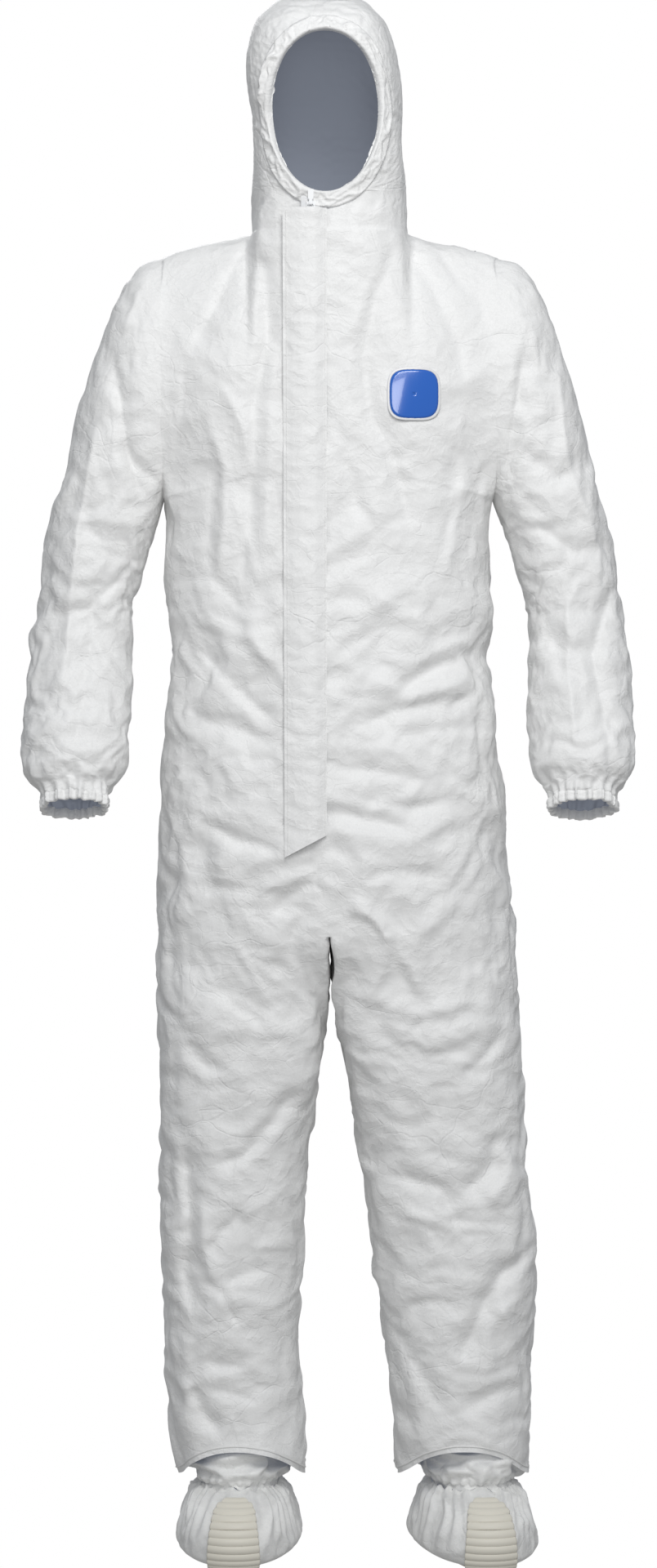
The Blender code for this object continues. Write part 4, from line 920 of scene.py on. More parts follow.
def trunk_back():
    across = crowd(np.linspace(-1, 1, count(150)))
    half = len(across) // 2
    left = across[half:]
    left = pin_column(left, nearest(left, NECK_EDGE), NECK_EDGE)
    across = np.r_[-left[::-1], left][None, :] + np.zeros((len(TRUNK_UP), 1))
    points = trunk_unevenness(trunk_surface(across, TRUNK_UP[:, None] + 0 * across, BACK))
    z = points[..., 2]
    normals = outward(points, TRUNK_CENTRE)
    inside = 1 - np.abs(across) ** 4
    # the waist is drawn in with upright gathers
    waist = bell(z, 1.075, 0.035) * inside
    phase = 42 * across + 2.0 * space_noise(points, 0.08, 21)
    points = points + normals * (waist * (-0.010 + 0.0045 * np.sin(phase)))[..., None]
    points = points + normals * (
        0.0045 * space_noise(points, 0.14, 31, (0.6, 1, 1.2)) * inside)[..., None]
    loose, low, calm = trunk_looseness(z, across)
    return Panel(crumple(points, TRUNK_CENTRE, (0.007 + 0.004 * low) * calm,
                         (0.006 + 0.012 * low) * calm, loose * calm, seed_height=0.0030), across)


front = {RIGHT: trunk_front(RIGHT), LEFT: trunk_front(LEFT)}
back = trunk_back()
BACK_EDGE = {RIGHT: 0, LEFT: -1}      # the back's column at each side seam
front_neck = {side: nearest(front[side].across[-1], side * NECK_EDGE) for side in TAG}
back_neck = {side: nearest(back.across[-1], side * NECK_EDGE) for side in TAG}


def sew_trunk():
    """Closes the front below the zip and shares one shading normal across each seam."""
    right, left = front[RIGHT], front[LEFT]
    joined = np.linalg.norm(right.points[:, 0] - left.points[:, 0], axis=-1) < 0.006
    middle = (right.points[:, 0] + left.points[:, 0]) / 2
    for panel in (right, left):
        panel.points[joined, 0] = middle[joined]
    for panel in (right, left, back):
        panel.normals = outward(panel.points, TRUNK_CENTRE)
    sides = slice(0, ARM_ROW + 1)
    for side, panel in front.items():
        col = BACK_EDGE[side]
        shared = unit(panel.normals[sides, -1] + back.normals[sides, col])
        panel.normals[sides, -1] = shared
        back.normals[sides, col] = shared
    shared = unit(right.normals[:, 0] + left.normals[:, 0])
    for panel in (right, left):
        panel.normals[joined, 0] = shared[joined]
    for side, panel in front.items():
        j = front_neck[side]
        seam = slice(back_neck[side], None, side)
        front_at = arc_share(panel.points[-1, j:])
        back_at = arc_share(back.points[-1, seam])
        front_normals = panel.normals[-1, j:].copy()
        back_normals = back.normals[-1, seam].copy()
        panel.normals[-1, j:] = unit(front_normals + resample(front_at, back_at, back_normals))
        back.normals[-1, seam] = unit(back_normals + resample(back_at, front_at, front_normals))


sew_trunk()


# =====================================================================
#  Legs: thigh and shin solved as one tube, then parted at the knee
# =====================================================================
def leg_surface(side, angle, z):
    """angle 0 is the outer side, a quarter turn is the front."""
    x_low, x_high = read_table(LEG_WIDTH[side], z)
    depth, centre_y = read_table(LEG_DEPTH, z)
    outer, forward = np.cos(angle), np.sin(angle)
    # the inner side grows squarer toward the hip
    power = np.where(outer > 0, 2.35, 2.35 + 2.6 * smoothstep(0.46, 0.68, z))
    x = (x_low + x_high) / 2 + side * (x_high - x_low) / 2 * signed_power(outer, 2 / power)
    return np.stack([x, centre_y - depth * signed_power(forward, 2 / power), z], -1)


def hem_z(angle):
    forward = np.sin(angle)
    return 0.084 + np.where(forward > 0, 0.038, 0.018) * forward**2


def leg(side):
    tag = TAG[side]
    panel = front[side]
    middle = nearest(back.across[0], 0)
    # the side seam's point is column 0 already, so the back leaves it out
    if side == RIGHT:
        back_cols = np.arange(middle, 0, -1)
    else:
        back_cols = np.arange(middle, back.points.shape[1] - 1)
    # the hip ring is the trunk's own edge, closed by a strip between the legs
    front_top, front_normals = panel.points[0, ::-1], panel.normals[0, ::-1]
    back_top = back.points[0, back_cols]
    strip_count = 20 + (len(front_top) + len(back_top)) % 2
    t = (np.arange(strip_count) + 1) / (strip_count + 1)
    strip = front_top[-1] + (back_top[0] - front_top[-1]) * t[:, None]
    strip[:, 0] = side * 0.0004
    strip[:, 2] += 0.011 * np.sin(math.pi * t) ** 0.6
    top = np.concatenate([front_top, strip, back_top])

    angle = even_angles(lambda fine: leg_surface(side, fine, np.full(fine.shape, 0.66)), len(top))
    thigh_rows, shin_rows = count(72), count(110)
    level = np.r_[np.linspace(Z_HIP, Z_KNEE, thigh_rows),
                  np.linspace(Z_KNEE, 0.0, shin_rows)[1:]][:, None]
    z = np.where(level <= Z_KNEE, Z_KNEE + (hem_z(angle) - Z_KNEE) * (1 - level / Z_KNEE), level)
    points = leg_surface(side, angle[None, :], z)
    x_low, x_high = read_table(LEG_WIDTH[side], z)
    centre_x = (x_low + x_high) / 2
    mean_x = centre_x.mean()
    uneven = (0.0021 * facet_noise(points, 0.105, 5 + side, (0.9, 0.8, 1.2))
              + 0.0012 * facet_noise(points, 0.046, 8 + side, (0.8, 0.8, 1.5)))
    points = points + away_from_axis(points, mean_x) * uneven[..., None]
    near_hip = smoothstep(0.610, Z_HIP, z)[..., None]
    points = points + (top - points[0])[None] * near_hip
    points[0] = top

    z = points[..., 2].copy()
    calm = smoothstep(Z_HIP, Z_HIP - 0.045, z)
    off_centre = np.clip((points[..., 0] - centre_x) / ((x_high - x_low) / 2), -1, 1)
    inside = (1 - np.abs(off_centre) ** 5) * calm
    is_front = np.sin(angle)[None, :] > 0
    fold = (1.30 * fold_field(points, LEG_FOLDS)
            + 0.9 * fold_field(points, TRUNK_FOLDS) * (z > 0.66))
    points[..., 1] -= fold * is_front * inside
    points[..., 1] += (0.005 * space_noise(points, 0.15, 41, (0.8, 0.3, 1.3))
                       + 0.003 * space_noise(points, 0.07, 42, (0.7, 0.3, 1.5))
                       ) * ~is_front * inside
    loose = np.clip(0.6 + 0.4 * bell(z, 0.68, 0.08) + 0.3 * bell(z, 0.16, 0.10)
                    + 0.15 * bell(z, 0.46, 0.06), 0, 1)
    centre = (mean_x, 0, 0.4)
    cloth = crumple(points, centre, (0.005 + 0.005 * loose) * calm,
                    (0.005 + 0.008 * loose) * calm, loose * calm, seed_height=0.0024,
                    wrap=True, last_row_fixed=False)
    normals = outward(cloth, centre, True)

    # one shading normal on both sides of the hip line; front_normals is a view of the panel's
    seam = slice(2, len(front_top) - 3)
    shared = unit(normals[0, seam] + front_normals[seam])
    normals[0, seam] = shared
    front_normals[seam] = shared
    seam_cols = back_cols[3:-2]
    first = len(front_top) + strip_count + 3
    seam = slice(first, first + len(seam_cols))
    shared = unit(normals[0, seam] + back.normals[0, seam_cols])
    normals[0, seam] = shared
    back.normals[0, seam_cols] = shared

    thigh = cloth_piece("thigh_" + tag, cloth[:thigh_rows], centre, True,
                        normals=normals[:thigh_rows])
    attach_between(thigh,
                   ("thigh_front_" + tag, "thigh_back_" + tag))
    shin = cloth_piece("shin_" + tag, cloth[thigh_rows - 1:], centre, True,
                       normals=normals[thigh_rows - 1:])
    attach_between(shin,
                   ("shin_front_" + tag, "shin_back_" + tag))
    # stitched hem: a low welt two rows above the lower edge
    hem_normals = np.vstack([normals[-3], normals[-3, :1]])
    path = np.vstack([cloth[-3], cloth[-3, :1]]) + hem_normals * 0.0004
    welt = ribbon(path, hem_normals, width=0.0022, height=0.0006)
    attach(add_mesh("leg_hem_" + tag, welt, grid_faces(*welt.shape[:2]), THREAD), "shin_" + tag)


for side in TAG:
    leg(side)


# =====================================================================
#  Sleeves
# =====================================================================
def sleeve_surface(table, station, angle, side):
    """angle 0 is the outer side (the top at the shoulder), a quarter turn is the front."""
    outer_x, outer_z, inner_x, inner_z, depth, centre_y, tilt = read_table(
        numbered(table), station)
    tilt = np.radians(tilt)
    outer, forward = np.cos(angle), np.sin(angle)
    x = (outer_x + inner_x) / 2 + (outer_x - inner_x) / 2 * outer
    y = centre_y - depth * np.cos(tilt) * forward
    z = ((outer_z + inner_z) / 2 + (outer_z - inner_z) / 2 * outer
         + depth * np.sin(tilt) * forward)
    return np.stack([side * x, y, z], -1)


# cuff section: distance down the sleeve, distance out
CUFF_SECTION = (
    (-0.0010, 0.0006), (0.0, 0.0014), (0.0020, 0.0022), (0.0045, 0.0024), (0.0065, 0.0016),
    (0.0085, 0.0022), (0.0105, 0.0020), (0.0118, 0.0008), (0.0120, -0.0010), (0.0110, -0.0024),
    (0.0060, -0.0030), (0.0010, -0.0030))


def cuff(side, wrist, angle):
    """A gathered band and its turned-in edge."""
    centre = wrist.mean(0)
    tilt = math.radians(WRIST_TILT)
    down = np.array([0, -math.sin(tilt), -math.cos(tilt)])
    away = unit(wrist - centre)
    gathers = (0.0007 * np.sin(38 * angle) + 0.0004 * np.sin(61 * angle + 1))[:, None]
    points = np.array([wrist + down * drop + away * (out - 0.0010 + gathers * (1 if out > 0 else 0.3))
                       for drop, out in CUFF_SECTION])
    tag = TAG[side]
    attach(cloth_piece("cuff_" + tag, points, centre, True, thickness=0.0006),
           "lower_sleeve_" + tag, ("cuff_hem_" + tag, "cuff_elastic_" + tag))


def sleeve(side):
    tag = TAG[side]
    panel, edge = front[side], BACK_EDGE[side]
    # the first ring is the trunk's own armhole: top, front, under the arm, back
    front_count = len(TRUNK_UP) - ARM_ROW
    ring, ring_normals = (
        np.concatenate([a[ARM_ROW:, -1][::-1], b[ARM_ROW + 1:-1, edge]])
        for a, b in ((panel.points, back.points), (panel.normals, back.normals)))
    level = Z_HIP + (Z_SHOULDER - Z_HIP) * TRUNK_UP[ARM_ROW:]
    half_height = (Z_SHOULDER - Z_ARMPIT) / 2
    half_turn = np.arccos(np.clip((level - (Z_ARMPIT + Z_SHOULDER) / 2) / half_height, -1, 1))
    angle = np.r_[half_turn[::-1], 2 * math.pi - half_turn[1:-1]]

    upper_rows, lower_rows = count(96), count(84)
    upper_at = np.linspace(0, len(UPPER_SLEEVE) - 1, upper_rows)
    lower_at = np.linspace(0, len(LOWER_SLEEVE) - 1, lower_rows)[1:]
    points = shoulder_lift(np.concatenate([
        sleeve_surface(table, at[:, None] + 0 * angle, angle + 0 * at[:, None], side)
        for table, at in ((UPPER_SLEEVE, upper_at), (LOWER_SLEEVE, lower_at))]))
    rows = len(points)
    row = np.arange(rows)[:, None]
    away = unit(points - points.mean(1)[:, None])
    beyond_seam = smoothstep(0, 26, row)
    uneven = (0.0024 * facet_noise(points, 0.095, 51 + side, (1, 1, 0.9))
              + 0.0012 * facet_noise(points, 0.042, 61 + side, (0.8, 0.8, 1.4)))
    points = points + away * (uneven * beyond_seam)[..., None]
    points = points + (ring - points[0])[None] * (1 - beyond_seam[..., None])
    forward = np.clip(np.sin(angle), 0, 1)[None, :] ** 0.5
    points[..., 1] -= 1.5 * fold_field(points, SLEEVE_FOLDS) * forward * beyond_seam
    # gathers at the wrist, and a puff above them
    near_wrist = smoothstep(rows - 0.22 * lower_rows * 1.6, rows - 1, row)
    phase = 19 * angle + 1.2 * np.sin(3 * angle) + 0.8 * space_noise(points, 0.05, 71)
    points = points + away * (near_wrist * 0.0022 * np.sin(phase))[..., None]
    puff = bell(row, rows - 0.30 * lower_rows, 0.09 * lower_rows)
    points = points + away * (
        puff * 0.0025 * space_noise(points, 0.03, 73, (1, 1, 0.4)))[..., None]

    loose = np.clip(0.55 + 0.45 * bell(row, upper_rows, 0.30 * upper_rows)
                    + 0.5 * bell(row, rows - 0.25 * lower_rows, 0.16 * lower_rows), 0, 1)
    calm = smoothstep(0, 0.17 * upper_rows, row)
    centre = (side * 0.29, -0.01, 1.2)
    cloth = crumple(points, centre, (0.006 + 0.006 * loose) * calm,
                    (0.007 + 0.015 * loose) * calm, loose * calm, seed_height=0.0030, wrap=True)
    normals = outward(cloth, centre, True)
    # one shading normal on both sides of the armhole
    shared = unit(normals[0] + ring_normals)
    normals[0] = shared
    panel.normals[ARM_ROW:, -1] = shared[:front_count][::-1]
    back.normals[ARM_ROW, edge] = shared[front_count - 1]
    back.normals[ARM_ROW + 1:-1, edge] = shared[front_count:]
    back.normals[-1, edge] = shared[0]

    upper = cloth_piece("sleeve_upper_" + tag, cloth[:upper_rows], (side * 0.28, 0, 1.33), True,
                        normals=normals[:upper_rows])
    attach_between(upper,
                   ("sleeve_upper_front_" + tag, "sleeve_upper_back_" + tag))
    lower = cloth_piece("sleeve_lower_" + tag, cloth[upper_rows - 1:],
                        (side * 0.30, -0.04, 1.0), True, normals=normals[upper_rows - 1:])
    attach_between(lower,
                   ("sleeve_lower_front_" + tag, "sleeve_lower_back_" + tag))
    cuff(side, cloth[-1], angle)


for side in TAG:
    sleeve(side)


# =====================================================================
#  Hood
# =====================================================================
def hood_level(points):
    """Below zero inside the hood's surface."""
    x, y, z = points[..., 0], points[..., 1], points[..., 2]
    x_right, x_left, depth_front, depth_back = read_table(HOOD, z)
    depth = np.where(y < 0, depth_front, depth_back)
    off_centre = np.abs((x - (x_right + x_left) / 2) / ((x_left - x_right) / 2))
    level = (off_centre ** 2.6 + np.abs(y / depth) ** 2.6) ** (1 / 2.6) - 1
    return np.where(z > HOOD[-1, 0], 1.0 + (z - HOOD[-1, 0]) * 20, level)


def hood_gradient(points, step=1e-4):
    return np.stack([(hood_level(points + axis) - hood_level(points - axis)) / (2 * step)
                     for axis in np.eye(3) * step], -1)


def cast_to_hood(start, direction, far=0.25):
    """Where rays from inside meet the hood's surface, found by halving."""
    low, high = np.zeros(direction.shape[:-1]), np.full(direction.shape[:-1], far)
    for _ in range(34):
        middle = (low + high) / 2
        inside = hood_level(start + direction * middle[..., None]) < 0
        low, high = np.where(inside, middle, low), np.where(inside, high, middle)
    return start + direction * ((low + high) / 2)[..., None]


def hood_front(x, z):
    """The hood's front surface at x, z."""
    start = np.stack([x, 0 * x, z], -1)
    return cast_to_hood(start, np.broadcast_to((0.0, -1.0, 0.0), start.shape))


def rim_point(angle, grow=0.0):
    """Point of the face opening's edge; 0 is the wearer's left, a quarter turn the top."""
    up = np.sin(angle)
    x = FACE_X + (FACE_HALF_WIDTH + grow) * np.cos(angle)
    z = FACE_Z + np.where(up > 0, FACE_UP + grow, FACE_DOWN + grow) * up
    return hood_front(x, z)


def hood_edge(side, share):
    """Front edge of the hood on one side: beside the zip, then round the face opening."""
    neck_share = 0.10
    low, high = math.radians(-89), math.radians(52)

    def rim(angle):
        return rim_point(angle if side == LEFT else math.pi - angle)

    rise = share[share < neck_share] / neck_share
    z = Z_NECK + (FACE_Z - FACE_DOWN - Z_NECK) * rise
    turn = smoothstep(0.45, 1.0, rise)
    x = (ZIP_X + side * ZIP_HALF_GAP) * (1 - turn) + rim(np.array([low]))[0, 0] * turn
    climb = (share[share >= neck_share] - neck_share) / (1 - neck_share)
    return np.concatenate([hood_front(x, z), rim(low + (high - low) * climb)])


def hood_middle(share):
    """Middle line from the nape over the crown to the forehead."""
    angle = np.linspace(math.radians(-52), math.radians(166), 400)
    rays = np.stack([0 * angle, np.cos(angle), np.sin(angle)], -1)
    line = cast_to_hood(np.broadcast_to((-0.003, 0.0, 1.715), rays.shape), rays, 0.30)
    line = line[line[:, 2] > Z_NECK + 0.0002]
    brow = rim_point(np.array([math.pi / 2]))[0]
    at_brow = (line[:, 1] < brow[1] + 0.002) & (line[:, 2] < brow[2] + 0.03)
    cut = np.argmax(at_brow) if at_brow.any() else len(line)
    line = np.vstack([line[:cut], brow])
    length = arc_length(line)
    return resample(share ** 1.05 * length[-1], length, line)


def hood_shell():
    """Rows sweep from the right front edge round the back to the left one."""
    cols = count(190)
    share = np.linspace(0, 1, count(170))
    right, left, middle = hood_edge(RIGHT, share), hood_edge(LEFT, share), hood_middle(share)
    chord_middle = (right + left) / 2
    along_chord = right - left
    along_chord = along_chord / np.linalg.norm(along_chord, axis=-1, keepdims=True)
    inward = middle - chord_middle
    inward -= (inward * along_chord).sum(-1, keepdims=True) * along_chord
    depth = np.linalg.norm(inward, axis=-1, keepdims=True)
    inward = inward / depth
    # sweep about a point behind the chord so that the rays spread evenly
    hub = chord_middle + inward * (0.5 * depth * smoothstep(1.0, 0.55, share)[:, None])

    def sweep_angle(edge):
        return np.arctan2(((edge - hub) * inward).sum(-1), ((edge - hub) * along_chord).sum(-1))

    start, end = sweep_angle(right), sweep_angle(left)
    end = np.where(end < 0, end + 2 * math.pi, end)
    angle = start[:, None] + (end - start)[:, None] * np.linspace(0, 1, cols)[None, :]
    rays = (np.cos(angle)[..., None] * along_chord[:, None]
            + np.sin(angle)[..., None] * inward[:, None])
    points = cast_to_hood(np.broadcast_to(hub[:, None], rays.shape), rays, 0.34)
    for i, line in enumerate(points):
        length = arc_length(line)
        points[i] = resample(np.linspace(0, length[-1], cols), length, line)
    points[:, 0], points[:, -1] = right, left
    return points


def neck_line(kind):
    """The trunk panels' points or normals round the neck, from zip edge to zip edge."""
    right, left, behind = (getattr(panel, kind)[-1] for panel in (front[RIGHT], front[LEFT], back))
    return np.concatenate([right[:front_neck[RIGHT] + 1],
                           behind[back_neck[RIGHT] + 1:back_neck[LEFT]],
                           left[:front_neck[LEFT] + 1][::-1]])


def hood():
    """The hood's cloth and normals; also shares its lower edge's normals with the trunk."""
    shell = hood_shell()
    rows, cols = shell.shape[:2]
    col = np.arange(cols)[None, :] / (cols - 1)
    row = np.arange(rows)[:, None] / (rows - 1)
    edge = np.minimum(np.minimum(col, 1 - col) * 6.0, (1 - row) * 5.0)
    near_face = np.exp(-(edge / 0.55) ** 2) * smoothstep(0.06, 0.16, row)
    uneven = 0.0022 * space_noise(shell, 0.10, 81, (1, 1, 0.8)) * smoothstep(0, 0.05, row)
    points = shell + outward(shell, HOOD_CENTRE) * uneven[..., None]
    neck = neck_line("points")
    neck_at = arc_share(neck)
    points = points + ((resample(col[0], neck_at, neck) - points[0])[None]
                       * smoothstep(0.11, 0.0, row)[..., None])
    loose = np.clip(0.25 + 0.75 * near_face + 0.35 * bell(shell[..., 2], 1.60, 0.03), 0, 1)
    calm = smoothstep(0, 0.06, row)
    cloth = crumple(points, HOOD_CENTRE, (0.006 + 0.020 * loose) * calm,
                    (0.006 + 0.026 * loose) * calm, loose * calm, seed_height=0.0035)
    normals = outward(cloth, HOOD_CENTRE)
    hood_at = arc_share(cloth[0])
    normals[0] = unit(normals[0] + resample(hood_at, neck_at, neck_line("normals")))
    shared = resample(neck_at, hood_at, normals[0])
    right_end = front_neck[RIGHT] + 1
    back_end = right_end + back_neck[LEFT] - back_neck[RIGHT] - 1
    front[RIGHT].normals[-1, :right_end] = shared[:right_end]
    back.normals[-1, back_neck[RIGHT] + 1:back_neck[LEFT]] = shared[right_end:back_end]
    front[LEFT].normals[-1, :front_neck[LEFT] + 1] = shared[back_end:][::-1]
    return cloth, normals


hood_cloth, hood_normals = hood()
for name, panel, replaced in (("front_right", front[RIGHT], ("front_panel_right",)),
                              ("front_left", front[LEFT], ("front_panel_left",)),
                              ("back", back, ("back_panel", "waist_elastic"))):
    attach(cloth_piece(name, panel.points, TRUNK_CENTRE, normals=panel.normals),
           "torso", replaced)
attach_between(cloth_piece("hood_shell", hood_cloth, HOOD_CENTRE, normals=hood_normals),
               ("collar", "hood_side_right", "hood_side_left", "hood_centre_panel"))


def face_band():
    """Gathered band round the face opening, with its turned-in edge."""
    columns, steps, step = count(330), 14, 0.0013
    angle = np.arange(columns) / columns * 2 * math.pi
    rim = rim_point(angle, 0.0005)
    tangent = unit(np.roll(rim, -1, 0) - np.roll(rim, 1, 0))
    # rings step away from the opening and are drawn back to the hood's surface
    rings = [rim]
    ring = rim
    for _ in range(steps):
        direction = unit(np.cross(unit(hood_gradient(ring)), tangent))
        away = ring - np.array([FACE_X, ring[:, 1].mean(), FACE_Z])
        direction *= np.sign((direction * away).sum(-1, keepdims=True))
        ring = ring + direction * step
        for _ in range(3):
            gradient = hood_gradient(ring)
            ring = ring - (hood_level(ring) / (gradient**2).sum(-1))[:, None] * gradient
        rings.append(ring)
    rings = np.array(rings)
    normals = unit(hood_gradient(rings))

    share = np.arange(steps + 1)[:, None] / steps
    bulge = np.sin(math.pi * share) ** 0.7
    broad = ridged(steps + 1, columns, 3, 46, True)
    soft = smooth_noise(steps + 1, columns, 2, 30, True)
    fine = ridged(steps + 1, columns, 5, 80, True)
    temple = bell(angle, math.radians(158), 0.42)     # fuller at the wearer's right
    lift = (0.0022 + 0.0012 * bulge * (0.5 + 0.5 * np.clip(np.sin(angle) + 0.6, 0, 1))
            + 0.0016 * bulge * (1 + 1.2 * temple) * (0.75 * broad + 0.35 * soft + 0.35 * fine)
            + 0.006 * temple * bulge)
    lift = lift * np.where(share < 0.97, 1, 0.1)      # the outermost ring lies on the hood
    band = rings + normals * lift[..., None]
    away = unit((rim - np.array([FACE_X, 0, FACE_Z])) * (1, 0, 1))
    # turned-in edge: depth below the band, distance away from the opening's centre
    lip = [band[0] - normals[0] * depth + away * out
           for depth, out in ((0.009, 0.0005), (0.005, -0.0008), (0.0015, -0.0012))]
    band = np.concatenate([np.array(lip), band])
    normals = np.concatenate([np.repeat(normals[:1], len(lip), 0), normals])
    start = band + normals * (0.0007 * ridged(*band.shape[:2], 5, 70, True))[..., None]
    band = relax(band, start, slack_across=0.035, slack_along=0.01, anchor=0.05,
                 iterations=ITERATIONS // 2, fixed=np.zeros(band.shape[:2], bool),
                 wrap=True, bend=0.10)
    attach(cloth_piece("face_hem_gathers", band, HOOD_CENTRE, True, thickness=0.0006),
           "hood", ("face_hem", "face_elastic"))


face_band()

# =====================================================================
#  Overshoes, drawn with the toe toward +y and then turned into place
# =====================================================================
FOOT_POWER = 2.3


def shoe_ring(table, station, angle, power):
    z, toe, heel, half_width = read_table(numbered(table), station)
    side, forward = np.cos(angle), np.sin(angle)
    return np.stack([half_width * signed_power(side, 2 / power),
                     np.where(forward > 0, toe, heel) * signed_power(forward, 2 / power),
                     z + 0 * side], -1)


def foot_cloth(angle, centre):
    rows, cols = count(70), len(angle)
    station = np.linspace(0, len(FOOT) - 1, rows)[:, None]
    points = shoe_ring(FOOT, station + 0 * angle, angle + 0 * station, FOOT_POWER)
    z = points[..., 2]
    # upright gathers that fan out from the ankle, dying away toward the sole
    gather = smoothstep(0.012, 0.055, z) * (1 - 0.35 * smoothstep(0.066, 0.076, z))
    forward = np.clip((points[..., 1] - 0.10) / 0.10, 0, 1)
    phase = (15 * angle + 1.6 * smooth_noise(rows, cols, 3, 12, True)
             + 2.0 * np.sin(2 * angle))
    fold = (gather * (0.0034 - 0.0012 * forward) * (1 - 2 * np.abs(np.sin(phase)))
            + 0.0016 * ridged(rows, cols, 6, 40, True) * smoothstep(0.006, 0.02, z))
    points = points + outward(points, centre, True) * fold[..., None]
    loose = 0.35 + 0.55 * smoothstep(0.01, 0.05, points[..., 2] * 0 + z)
    return crumple(points, centre, 0.02 * loose, 0.02 * loose, loose, seed_height=0.0015,
                   wrap=True, detail=0.0010)


def gaiter_cloth(side, ankle, ankle_angle, centre):
    """Puffed, with level folds; its first ring is the foot's last."""
    station = np.linspace(0, len(GAITER) - 1, count(64))[:, None]
    angle = np.arange(len(ankle)) / len(ankle) * 2 * math.pi
    points = shoe_ring(GAITER, station + 0 * angle, angle + 0 * station, 2.0)
    points[0] = resample(angle, np.r_[ankle_angle, 2 * math.pi], np.vstack([ankle, ankle[:1]]))
    z = points[..., 2]
    level = space_noise(points, 0.040, 91 + side, (0.5, 0.5, 1.5))
    fold = (0.0050 * (1 - 2 * np.abs(level).clip(0, 1))
            + 0.0028 * space_noise(points, 0.028, 95 + side, (0.7, 0.7, 1.3))
            ) * smoothstep(0.078, 0.090, z)
    pucker = (0.0020 * np.sin(30 * angle) * bell(z, 0.080, 0.010)
              * smoothstep(0.078, 0.081, z))
    points = points + outward(points, centre, True) * (fold + pucker)[..., None]
    return crumple(points, centre, 0.02, 0.06, free=0.9, seed_height=0.004, wrap=True,
                   last_row_fixed=False)


def toe_patch(tag, place, centre):
    """Ribbed patch turned up over the toe, rounded at its upper end."""
    rows, cols, ribs = 110, 40, 11.5
    up = np.linspace(0, 1, rows)[:, None]
    taper = np.where(up < 0.78, 1, np.sqrt(np.maximum(0.0, 1 - ((up - 0.78) / 0.235) ** 2)))
    angle = math.pi / 2 + np.linspace(-1, 1, cols)[None, :] * math.radians(17.0) * taper
    points = shoe_ring(FOOT, 2.0 + 5.0 * up + 0 * angle, angle, FOOT_POWER)
    lift = 0.0042 + 0.0011 * signed_power(np.sin(up * 2 * math.pi * ribs), 0.5)
    points = points + outward(points, centre) * lift[..., None]
    faces = grid_faces(rows, cols, flip=faces_inward(points, centre))
    ob = add_mesh("toe_rib_patch_" + tag, place(points), faces, TOE_PATCH)
    thicken(ob, 0.0046, offset=-1)
    attach(ob, "bootie_" + tag, ("toe_patch_" + tag,))


def overshoe(side, ankle_x, toe_turn):
    """toe_turn: degrees by which the toe swings toward the wearer's left."""
    tag = TAG[side]
    cos, sin = math.cos(math.radians(toe_turn)), math.sin(math.radians(toe_turn))

    def place(points):
        x, y = points[..., 0], points[..., 1]
        return np.stack([ankle_x + cos * x + sin * y, 0.010 + sin * x - cos * y,
                         points[..., 2]], -1)

    centre = np.array([0.0, 0.055, 0.03])
    angle = even_angles(
        lambda fine: shoe_ring(FOOT, np.full(fine.shape, 4.0), fine, FOOT_POWER), count(200))
    foot = foot_cloth(angle, centre)
    ob = cloth_piece("overshoe_foot_" + tag, place(foot), place(centre), True, OVERSHOE_FILM)
    attach(ob, "bootie_" + tag, ("bootie_foot_" + tag, "ankle_elastic_" + tag))
    gaiter_centre = np.array([0, 0.01, 0.12])
    gaiter = gaiter_cloth(side, foot[-1], angle, gaiter_centre)
    ob = cloth_piece("overshoe_gaiter_" + tag, place(gaiter), place(gaiter_centre), True,
                     OVERSHOE_FILM)
    attach(ob, "bootie_" + tag, ("bootie_gaiter_" + tag,))
    toe_patch(tag, place, centre)


overshoe(RIGHT, ankle_x=-0.108, toe_turn=-1.0)
overshoe(LEFT, ankle_x=0.170, toe_turn=5.0)

# =====================================================================
#  Storm flap
# =====================================================================
FLAP_X = -0.003                       # sewn edge; the flap reaches toward the wearer's right
FLAP_UP = unit(np.array([0, 0.037, 0.75]))
FLAP_OUT = np.array([0, -FLAP_UP[2], FLAP_UP[1]])
FLAP_CENTRE = (-0.02, 0.2, 1.2)
# distance from the sewn edge, height above the zip's plane
FLAP_SECTION = np.array([
    (0.0000, 0.0022), (0.0035, 0.0040), (0.0080, 0.0068), (0.0120, 0.0090), (0.0160, 0.0098),
    (0.0220, 0.0100), (0.0300, 0.0092), (0.0380, 0.0072), (0.0440, 0.0048), (0.0495, 0.0030)])
FLAP_WIDTH = FLAP_SECTION[-1, 0]


def stitches(name, path, normals, body, pitch=0.0045, length=0.0032):
    """A row of short raised dashes along a path."""
    at = arc_length(path)
    starts = np.arange(0.002, at[-1] - length, pitch)
    dashes = []
    for start in starts:
        along = np.linspace(start, start + length, 4)
        dashes.append(ribbon(resample(along, at, path), resample(along, at, normals),
                             width=0.0008, height=0.0004))
    rows, cols = dashes[0].shape[:2]
    faces = grid_faces(rows, cols) + rows * cols * np.arange(len(dashes))[:, None, None]
    attach(add_mesh(name, dashes, faces.reshape(-1, 4), THREAD), body)


